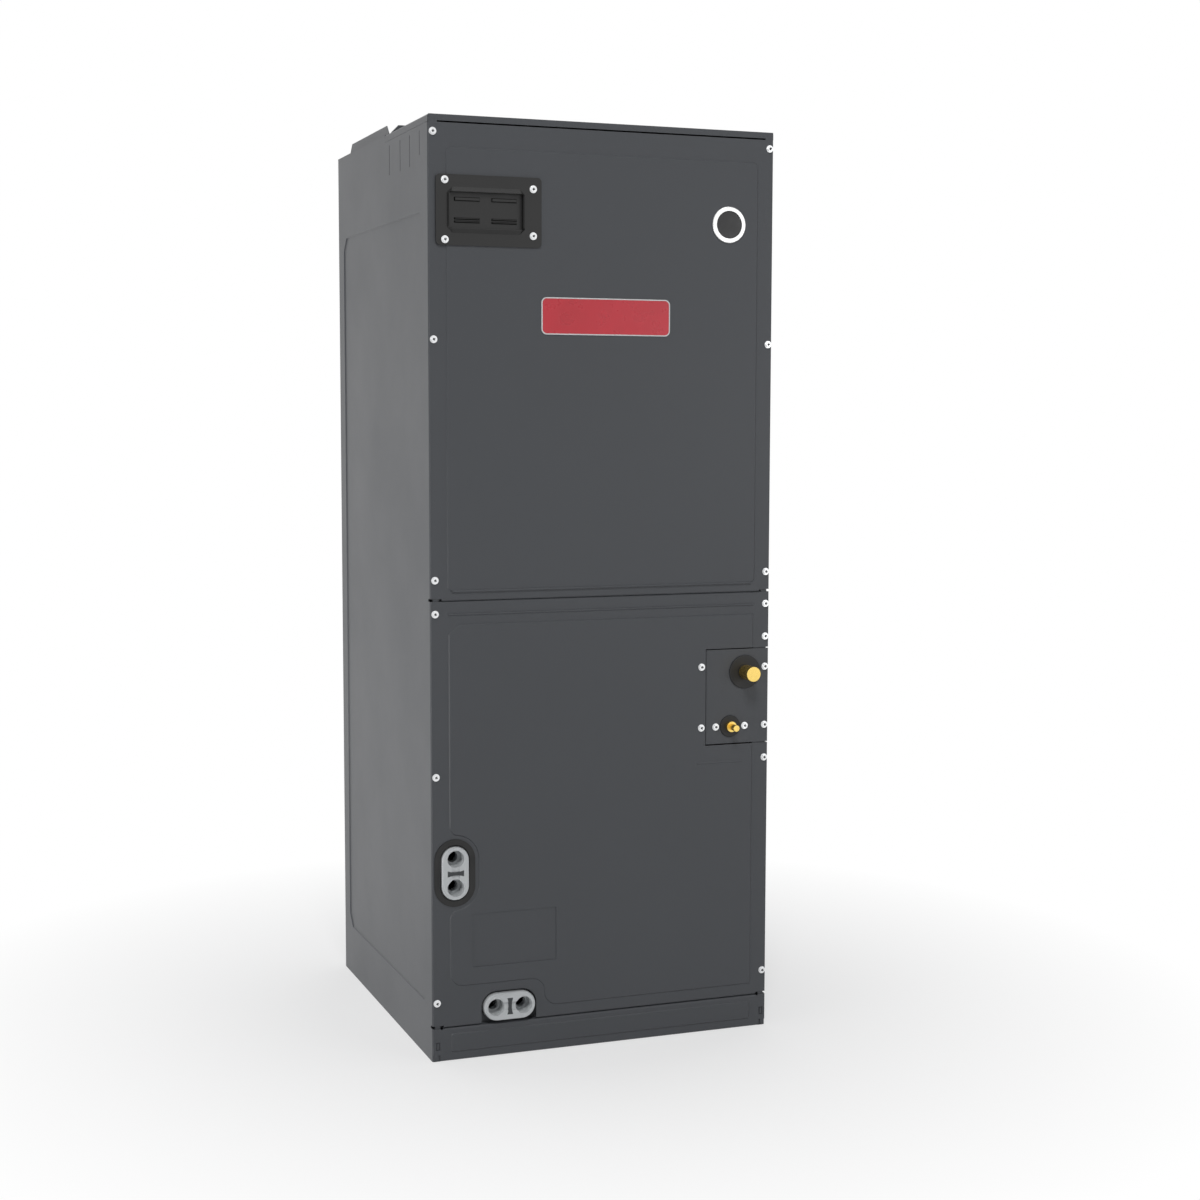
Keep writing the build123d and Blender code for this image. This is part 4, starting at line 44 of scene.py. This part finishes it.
class Graph:
    """A node material with a Principled shader, and short calls that add nodes to it."""

    def __init__(self, name):
        self.material = bpy.data.materials.new(name)
        self.material.use_nodes = True
        self.tree = self.material.node_tree
        self.shader = self.tree.nodes["Principled BSDF"]
        self.place = self.node("ShaderNodeTexCoord").outputs["Object"]

    def node(self, kind, **values):
        made = self.tree.nodes.new(kind)
        for key, value in values.items():
            setattr(made, key, value)
        return made

    def link(self, source, target):
        self.tree.links.new(source, target)

    def stretched(self, scale):
        """Object coordinates, multiplied by a scale for each axis."""
        mapping = self.node("ShaderNodeMapping")
        mapping.inputs["Scale"].default_value = scale
        self.link(self.place, mapping.inputs["Vector"])
        return mapping.outputs["Vector"]

    def noise(self, scale, detail=3.0, place=None, roughness=0.5):
        made = self.node("ShaderNodeTexNoise")
        made.inputs["Scale"].default_value = scale
        made.inputs["Detail"].default_value = detail
        made.inputs["Roughness"].default_value = roughness
        self.link(place or self.place, made.inputs["Vector"])
        return made.outputs["Fac"]

    def wave(self, scale, direction, place=None, distortion=0.0):
        made = self.node("ShaderNodeTexWave", bands_direction=direction)
        made.inputs["Scale"].default_value = scale
        made.inputs["Distortion"].default_value = distortion
        self.link(place or self.place, made.inputs["Vector"])
        return made.outputs["Fac"]

    def spread(self, source, low, high, start=0.3, end=0.7):
        """A number between low and high, as source goes from start to end."""
        made = self.node("ShaderNodeMapRange")
        for key, value in (("From Min", start), ("From Max", end),
                           ("To Min", low), ("To Max", high)):
            made.inputs[key].default_value = value
        self.link(source, made.inputs["Value"])
        return made.outputs["Result"]

    def colours(self, source, dark, light, start=0.3, end=0.7):
        """Base colour between dark and light, as source goes from start to end."""
        ramp = self.node("ShaderNodeValToRGB")
        ramp.color_ramp.elements[0].position = start
        ramp.color_ramp.elements[0].color = (*dark, 1)
        ramp.color_ramp.elements[1].position = end
        ramp.color_ramp.elements[1].color = (*light, 1)
        self.link(source, ramp.inputs["Fac"])
        self.link(ramp.outputs["Color"], self.shader.inputs["Base Color"])

    def bump(self, source, distance, strength, under=None):
        made = self.node("ShaderNodeBump")
        made.inputs["Distance"].default_value = distance
        made.inputs["Strength"].default_value = strength
        self.link(source, made.inputs["Height"])
        if under is not None:
            self.link(under, made.inputs["Normal"])
        self.link(made.outputs["Normal"], self.shader.inputs["Normal"])
        return made.outputs["Normal"]

    def rough(self, source, low, high):
        """Roughness between low and high, over the middle part of source."""
        self.link(self.spread(source, low, high), self.shader.inputs["Roughness"])

    def fixed(self, **values):
        for key, value in values.items():
            self.shader.inputs[key.replace("_", " ")].default_value = value


def shade(colour, factor):
    return tuple(channel * factor for channel in colour)


def powder_paint(name, colour, roughness=0.4, grain=0.00005):
    """Powder-coated sheet steel: orange peel, faint colour drift and soft handling marks."""
    g = Graph(name)
    g.colours(g.noise(2.5, 4), shade(colour, 0.97), shade(colour, 1.03))
    marks = g.noise(5, 6, None, 0.6)
    g.rough(marks, roughness - 0.03, roughness + 0.03)
    peel = g.bump(g.noise(520, 2), grain, 0.5)
    g.bump(g.noise(1900, 1), grain / 3, 0.4, peel)
    g.fixed(Specular_IOR_Level=0.3)
    return g.material


def rolled_metal(name, colour, roughness=0.34, direction=(1, 1, 30), spangle=0.0):
    """Bare metal with rolling or drawing marks along one way, and a spangle for zinc."""
    g = Graph(name)
    if spangle:
        cells = g.node("ShaderNodeTexVoronoi")
        cells.inputs["Scale"].default_value = spangle
        g.link(g.place, cells.inputs["Vector"])
        g.colours(cells.outputs["Color"], shade(colour, 0.86), shade(colour, 1.06), 0.2, 0.8)
    else:
        g.colours(g.noise(14, 5), shade(colour, 0.86), shade(colour, 1.05))
    lines = g.noise(60, 4, g.stretched(direction))
    g.rough(lines, roughness - 0.07, roughness + 0.1)
    g.bump(lines, 0.00004, 0.35)
    g.fixed(Metallic=1.0)
    return g.material


def moulded(name, colour, roughness=0.5, grain=900, depth=0.00006, drift=0.1):
    """Moulded plastic or rubber with a fine stippled skin."""
    g = Graph(name)
    g.colours(g.noise(9, 3), shade(colour, 1 - drift), shade(colour, 1 + drift))
    g.rough(g.noise(40, 4), roughness - 0.06, roughness + 0.08)
    g.bump(g.noise(grain, 3), depth, 0.55)
    return g.material


def foil_liner(name):
    """Foil-faced glass fibre board, creased where it was pressed."""
    g = Graph(name)
    g.colours(g.noise(30, 6), (0.42, 0.42, 0.43), (0.62, 0.62, 0.63))
    creases = g.noise(55, 8, None, 0.68)
    g.rough(creases, 0.28, 0.5)
    g.bump(creases, 0.0009, 0.5)
    g.fixed(Metallic=0.85)
    return g.material


def finned(name):
    """Fin edges at their real spacing, along the coil's depth, with painted shade in the dark bands
    between them.
    """
    g = Graph(name)
    fins_and_gap_shade = g.wave(88.0, "Y")
    # Dark bands between the fin edges are painted shade, the light bands are the fin edges
    g.colours(fins_and_gap_shade, (0.34, 0.34, 0.35), (0.8, 0.8, 0.81), 0.2, 0.75)
    g.rough(g.noise(18, 4), 0.26, 0.4)
    g.bump(fins_and_gap_shade, 0.0006, 0.7)
    g.fixed(Metallic=1.0)
    return g.material


def filter_cloth(name):
    g = Graph(name)
    g.colours(g.noise(700, 6, None, 0.7), (0.6, 0.62, 0.66), (0.86, 0.88, 0.9))
    g.bump(g.noise(1400, 5, g.stretched((1, 0.4, 1))), 0.0003, 0.8)
    g.fixed(Roughness=0.95, Sheen_Weight=0.25)
    return g.material


def card(name, colour):
    g = Graph(name)
    fibres = g.noise(160, 8, g.stretched((1, 0.2, 1)), 0.7)
    g.colours(fibres, shade(colour, 0.88), shade(colour, 1.05))
    g.bump(g.noise(420, 5, g.stretched((1, 0.3, 1))), 0.00012, 0.6)
    g.fixed(Roughness=0.85)
    return g.material


def badge_enamel(name):
    """Baked red enamel with a clear coat."""
    g = Graph(name)
    g.colours(g.noise(12, 3), (0.5, 0.008, 0.022), (0.58, 0.011, 0.03))
    g.rough(g.noise(60, 4), 0.24, 0.34)
    g.bump(g.noise(700, 2), 0.00002, 0.4)
    g.fixed(Coat_Weight=0.4, Coat_Roughness=0.12)
    return g.material


def circuit_board(name):
    g = Graph(name)
    g.colours(g.noise(70, 5), (0.012, 0.09, 0.035), (0.03, 0.16, 0.06), 0.4, 0.6)
    g.rough(g.noise(200, 3), 0.25, 0.45)
    g.bump(g.wave(120, "X"), 0.00006, 0.4)
    return g.material


def dress(slots):
    """Give every CAD node the material of its slot in the record."""
    for row in frame["record"]["subparts"]:
        target = nodes[row["node"]]
        target.data.materials.clear()
        target.data.materials.append(slots[row["material_slot"]])


GREY = (0.070, 0.074, 0.081)
copper = rolled_metal("copper_tube_finish", (0.83, 0.6, 0.17), 0.3, (8, 8, 8))
# Black trim plastic, also used as the painted shade of the screw sockets
black_trim_and_socket_shade = moulded("trim_black_finish", (0.0022, 0.0022, 0.0022), 0.42)
pale_plastic = moulded("pan_plastic_finish", (0.55, 0.57, 0.58), 0.34, 600, 0.00005, 0.04)
dress({
    "cabinet_paint": powder_paint("cabinet_paint_finish", GREY),
    "galvanized": rolled_metal("galvanized_finish", (0.5, 0.51, 0.52), 0.42, (1, 1, 12), 95.0),
    "insulation": foil_liner("insulation_finish"),
    "screw_zinc": rolled_metal("screw_zinc_finish", (0.82, 0.83, 0.84), 0.3, (6, 6, 6)),
    "rubber_black": moulded("rubber_black_finish", (0.0028, 0.0028, 0.0028), 0.6, 700, 0.00008),
    "copper_tube": copper,
    "bezel_bright": rolled_metal("bezel_finish", (0.86, 0.86, 0.86), 0.26, (4, 4, 4)),
    "valve_brass": rolled_metal("valve_brass_finish", (0.68, 0.5, 0.2), 0.3, (5, 5, 5)),
    "fin_aluminium": finned("fin_aluminium_with_painted_gap_shade"),
    "pan_plastic": pale_plastic,
    "motor_paint": powder_paint("motor_paint_finish", (0.012, 0.012, 0.013), 0.35),
    "shaft_steel": rolled_metal("shaft_steel_finish", (0.6, 0.6, 0.6), 0.25, (1, 30, 30)),
    "trim_black": black_trim_and_socket_shade,
    "lens_dark": moulded("lens_dark_finish", (0.003, 0.003, 0.004), 0.12, 200, 0.00001),
    "badge_rim_grey": powder_paint("badge_rim_finish", (0.72, 0.72, 0.72), 0.32),
    "badge_red": badge_enamel("badge_red_finish"),
    "board_green": circuit_board("board_green_finish"),
    "transformer_steel": rolled_metal("transformer_finish", (0.2, 0.2, 0.21), 0.45, (1, 30, 1)),
    "terminal_black": moulded("terminal_black_finish", (0.01, 0.01, 0.01), 0.4),
    "filter_board": card("filter_board_finish", (0.62, 0.58, 0.5)),
    "filter_cloth": filter_cloth("filter_cloth_finish"),
})

# The rails that show in the seams are painted like the cabinet
for name in ("front_sill", "front_center_rail"):
    nodes[name].data.materials.clear()
    nodes[name].data.materials.append(nodes["left_side_panel"].data.materials[0])


def soften(target, width, angle):
    """Round the edges where two faces meet at more than an angle."""
    rounding = target.modifiers.new("rounding", "BEVEL")
    rounding.width = width
    rounding.segments = 2
    rounding.limit_method = "ANGLE"
    rounding.angle_limit = math.radians(angle)


# Edge radius of the pieces seen from near, in metres
EDGE_RADII = {
    "upper_access_panel": 0.0005,
    "lower_access_panel": 0.0005,
    "filter_door": 0.0005,
    "breaker_cover": 0.0006,
    "floor_drain_pan": 0.0008,
    "side_drain_pan": 0.0008,
    "upper_panel_screws": 0.0003,
    "lower_panel_screws": 0.0003,
    "tubing_plate_screws": 0.0003,
    "breaker_cover_screws": 0.0003,
    "badge_plate": 0.0004,
    "badge_rim": 0.0003,
    "tubing_plate": 0.0003,
}
for name, radius in EDGE_RADII.items():
    soften(nodes[name], radius, 50)


def add_mesh(name, verts, faces, material, body, smooth=True):
    """A made piece, in the frame's coordinates, that rides on a CAD body."""
    mesh = bpy.data.meshes.new(name)
    mesh.from_pydata(verts, [], faces)
    mesh.polygons.foreach_set("use_smooth", [smooth] * len(mesh.polygons))
    mesh.update()
    made = bpy.data.objects.new(name, mesh)
    bpy.context.scene.collection.objects.link(made)
    made.data.materials.append(material)
    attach(made, body)
    return made


# Thread: steps in a turn, steps in which it rises from nothing, half its foot per pitch
THREAD_STEPS = 40
THREAD_FADE = 20
THREAD_FLANK = 0.42


def thread(name, x, z, y_start, radius, depth, pitch, rise):
    """A helical ridge on the wall of a hole whose axis runs along Y."""
    count = int(depth / pitch * THREAD_STEPS)
    verts, faces = [], []
    for i in range(count + 1):
        angle = 2 * math.pi * i / THREAD_STEPS
        along = y_start + depth * i / count
        crest = rise * min(1.0, i / THREAD_FADE, (count - i) / THREAD_FADE)
        for reach, shift in ((0.0, -THREAD_FLANK), (crest, 0.0), (0.0, THREAD_FLANK)):
            r = radius - reach
            verts.append((x + r * math.cos(angle), along + shift * pitch, z + r * math.sin(angle)))
    for i in range(count):
        for k in range(2):
            a = 3 * i + k
            faces.append((a, a + 3, a + 4, a + 1))
    return add_mesh(name, verts, faces, pale_plastic, "cabinet")


# Drain ports: threads in the holes that the record states, from the pale ports' face inwards
THREAD_LEAD_IN = 0.0035
THREAD_DEPTH = 0.0145
THREAD_PITCH = 0.0018
THREAD_HEIGHT = 0.0007
port_face = min(vert.co.y for vert in nodes["floor_drain_pan"].data.vertices)
mounts = {mount["name"]: mount for mount in frame["record"]["mounts"]}
drains = [mounts[name] for name in ("floor_drain_left", "floor_drain_right",
                                    "side_drain_low", "side_drain_high")]
for number, drain in enumerate(drains):
    hole_x, _, hole_z = drain["pos_m"]
    thread(f"port_thread_{number}", hole_x, hole_z, port_face + THREAD_LEAD_IN,
           drain["dims"]["r_mm"] / 1000, THREAD_DEPTH, THREAD_PITCH, THREAD_HEIGHT)


def prism_faces(first, count):
    """Faces of a prism: a front loop from vertex first on, and a back loop after it."""
    faces = [tuple(range(first, first + count)),
             tuple(range(first + 2 * count - 1, first + count - 1, -1))]
    for k in range(count):
        after = (k + 1) % count
        faces.append((first + k, first + count + k, first + count + after, first + after))
    return faces


# Vertices nearer than this to a screw's first vertex, across and in height, belong to it
SCREW_REACH = 0.012


def screw_places(node):
    """Centre and front face of each screw in a node, as (x, y, z)."""
    groups = []
    for vert in nodes[node].data.vertices:
        for group in groups:
            away = group[0] - vert.co
            if abs(away.x) < SCREW_REACH and abs(away.z) < SCREW_REACH:
                group.append(vert.co)
                break
        else:
            groups.append([vert.co])
    for group in groups:
        xs, ys, zs = ([point[axis] for point in group] for axis in range(3))
        yield (min(xs) + max(xs)) / 2, min(ys), (min(zs) + max(zs)) / 2


# Driver sockets, black pieces of painted shade, with depths behind the screw's front, and a turn
# that grows screw by screw
SOCKET_ARM = 0.0019
SOCKET_HALF_WIDTH = 0.00055
SOCKET_FRONT = 0.0007
SOCKET_BACK = 0.0016
SOCKET_TURN = 0.7


def socket_shade_crosses(name, node, body):
    """Black cross-shaped pieces inside the screws' recesses: painted shade of the driver sockets."""
    arm, half = SOCKET_ARM, SOCKET_HALF_WIDTH
    outline = [(half, half), (arm, half), (arm, -half), (half, -half), (half, -arm), (-half, -arm),
               (-half, -half), (-arm, -half), (-arm, half), (-half, half), (-half, arm), (half, arm)]
    corners = len(outline)
    verts, faces = [], []
    for number, (x, y, z) in enumerate(screw_places(node)):
        cosine, sine = math.cos(SOCKET_TURN * number), math.sin(SOCKET_TURN * number)
        first = len(verts)
        for depth in (SOCKET_FRONT, SOCKET_BACK):
            for across, rise in outline:
                verts.append((x + across * cosine - rise * sine, y + depth,
                              z + across * sine + rise * cosine))
        faces += prism_faces(first, corners)
    # The black cross is painted shade in the socket, not a colour of the zinc screw
    add_mesh(name, verts, faces, black_trim_and_socket_shade, body, False)


for node, body in (("upper_panel_screws", "upper_panel"), ("lower_panel_screws", "lower_panel"),
                   ("breaker_cover_screws", "upper_panel"), ("tubing_plate_screws", "cabinet")):
    socket_shade_crosses(f"{node}_socket_shade", node, body)


# Dark piece of painted shade on the web between two drain holes, in metres
POCKET_STEPS = 14
POCKET_HALF_LENGTH = 0.0125
POCKET_HALF_WIDTH = 0.0048
POCKET_WAIST = 0.0025
POCKET_PROUD = 0.00015
POCKET_THICKNESS = 0.0016
POCKET_EDGE = 0.0005


def port_web_shade(name, x, z, upright):
    """Dark waisted piece between the two holes of a drain port, painted shade of the recessed web.
    """
    side = []
    for i in range(POCKET_STEPS + 1):
        along = -1 + 2 * i / POCKET_STEPS
        wide = POCKET_WAIST + (POCKET_HALF_WIDTH - POCKET_WAIST) * along * along
        side.append((along * POCKET_HALF_LENGTH, wide))
    loop = side + [(along, -wide) for along, wide in reversed(side)]
    verts = []
    for depth in (0.0, POCKET_THICKNESS):
        for along, wide in loop:
            across, rise = (along, wide) if upright else (wide, along)
            verts.append((x + across, port_face - POCKET_PROUD + depth, z + rise))
    made = add_mesh(name, verts, prism_faces(0, len(loop)), pocket_shade_dark, "cabinet",
                    False)
    soften(made, POCKET_EDGE, 30)


# The dark grey is painted shade of the web's recess; the port itself is pale plastic
pocket_shade_dark = moulded("pocket_painted_shade", (0.03, 0.034, 0.038), 0.45)
for name, near, far in (("floor_port_pocket_shade", drains[0], drains[1]),
                        ("side_port_pocket_shade", drains[2], drains[3])):
    near_x, _, near_z = near["pos_m"]
    far_x, _, far_z = far["pos_m"]
    port_web_shade(name, (near_x + far_x) / 2, (near_z + far_z) / 2, near_x == far_x)

# Floor, light and camera

def watched_rays(tree):
    """One for a ray from the camera, off a shiny face or through a clear one, else zero."""
    rays = tree.nodes.new("ShaderNodeLightPath")
    most = rays.outputs["Is Camera Ray"]
    for kind in ("Is Glossy Ray", "Is Transmission Ray"):
        larger = tree.nodes.new("ShaderNodeMath")
        larger.operation = "MAXIMUM"
        tree.links.new(most, larger.inputs[0])
        tree.links.new(rays.outputs[kind], larger.inputs[1])
        most = larger.outputs[0]
    return most


# The floor glows white where it is watched, less so near the part, where its shadow lies
SHADOW_RANGE = (("From Min", 0.35), ("From Max", 1.1), ("To Min", 0.55), ("To Max", 1.0))
FLOOR_REACH = 14.0
white = bpy.data.materials.new("floor_pale")
white.use_nodes = True
tree = white.node_tree
floor_shader = tree.nodes["Principled BSDF"]
floor_shader.inputs["Base Color"].default_value = (0.9, 0.9, 0.9, 1)
floor_shader.inputs["Roughness"].default_value = 0.9
glow = tree.nodes.new("ShaderNodeEmission")
place = tree.nodes.new("ShaderNodeTexCoord")
distance = tree.nodes.new("ShaderNodeVectorMath")
distance.operation = "LENGTH"
away = tree.nodes.new("ShaderNodeMapRange")
for key, value in SHADOW_RANGE:
    away.inputs[key].default_value = value
share = tree.nodes.new("ShaderNodeMath")
share.operation = "MULTIPLY"
both = tree.nodes.new("ShaderNodeMixShader")
for source, target in (
    (place.outputs["Object"], distance.inputs[0]),
    (distance.outputs["Value"], away.inputs["Value"]),
    (away.outputs["Result"], share.inputs[0]),
    (watched_rays(tree), share.inputs[1]),
    (share.outputs[0], both.inputs[0]),
    (floor_shader.outputs[0], both.inputs[1]),
    (glow.outputs[0], both.inputs[2]),
    (both.outputs[0], tree.nodes["Material Output"].inputs["Surface"]),
):
    tree.links.new(source, target)
floor_mesh = bpy.data.meshes.new("floor")
floor_corners = [(x * FLOOR_REACH, y * FLOOR_REACH, 0)
                 for x, y in ((-1, -1), (1, -1), (1, 1), (-1, 1))]
floor_mesh.from_pydata(floor_corners, [], [(0, 1, 2, 3)])
floor = bpy.data.objects.new("floor", floor_mesh)
bpy.context.scene.collection.objects.link(floor)
floor.data.materials.append(white)

# The world is white where it is watched, and lights the part only a little
world = bpy.data.worlds.new("studio")
bpy.context.scene.world = world
world.use_nodes = True
tree = world.node_tree
tree.nodes.clear()
output = tree.nodes.new("ShaderNodeOutputWorld")
seen = tree.nodes.new("ShaderNodeBackground")
seen.inputs["Color"].default_value = (1, 1, 1, 1)
seen.inputs["Strength"].default_value = 1.0
lit = tree.nodes.new("ShaderNodeBackground")
lit.inputs["Color"].default_value = (0.95, 0.97, 1.0, 1)
lit.inputs["Strength"].default_value = 0.22
choice = tree.nodes.new("ShaderNodeMixShader")
for source, target in (
    (watched_rays(tree), choice.inputs[0]),
    (lit.outputs[0], choice.inputs[1]),
    (seen.outputs[0], choice.inputs[2]),
    (choice.outputs[0], output.inputs["Surface"]),
):
    tree.links.new(source, target)


def soft_light(name, place, aim, size, power):
    """A rectangular lamp at a place, turned to shine at another."""
    lamp = bpy.data.lights.new(name, "AREA")
    lamp.shape = "RECTANGLE"
    lamp.size, lamp.size_y = size
    lamp.energy = power
    made = bpy.data.objects.new(name, lamp)
    bpy.context.scene.collection.objects.link(made)
    made.location = place
    made.rotation_mode = "QUATERNION"
    made.rotation_quaternion = (Vector(aim) - Vector(place)).to_track_quat("-Z", "Y")


soft_light("key", (-0.9, -3.1, 4.0), (0, -0.2, 0.75), (1.0, 1.0), 74)
soft_light("fill", (2.4, -3.3, 0.9), (0, 0, 0.45), (1.6, 1.4), 12)
soft_light("left_low", (-1.9, -0.4, 0.25), (-0.27, -0.05, 0.1), (1.4, 0.4), 9)
soft_light("top", (0, 0.6, 3.6), (0, 0.1, 1.3), (2.4, 2.4), 26)

# Camera solved from the cabinet's corners in the photograph
FOCAL_PIXELS = 1989.5
PHOTO_WIDTH = 1200
SENSOR_WIDTH = 36.0
CAMERA_PLACE = (-1.0332, -2.9892, 0.941)
CAMERA_ANGLES = (-20.57, 5.31, 0.13)
camera_data = bpy.data.cameras.new("camera")
camera = bpy.data.objects.new("camera", camera_data)
bpy.context.scene.collection.objects.link(camera)
bpy.context.scene.camera = camera
camera_data.sensor_width = SENSOR_WIDTH
camera_data.lens = FOCAL_PIXELS / PHOTO_WIDTH * SENSOR_WIDTH
camera_data.clip_end = 60
yaw, pitch, roll = (math.radians(angle) for angle in CAMERA_ANGLES)
forward = Vector((-math.sin(yaw) * math.cos(pitch), math.cos(yaw) * math.cos(pitch),
                  -math.sin(pitch)))
right = forward.cross(Vector((0, 0, 1))).normalized()
up = right.cross(forward)
turned_right = math.cos(roll) * right + math.sin(roll) * up
turned_up = -math.sin(roll) * right + math.cos(roll) * up
facing = Matrix((turned_right, turned_up, -forward)).transposed()
camera.matrix_world = Matrix.Translation(CAMERA_PLACE) @ facing.to_4x4()

bpy.context.scene.view_settings.view_transform = "Standard"
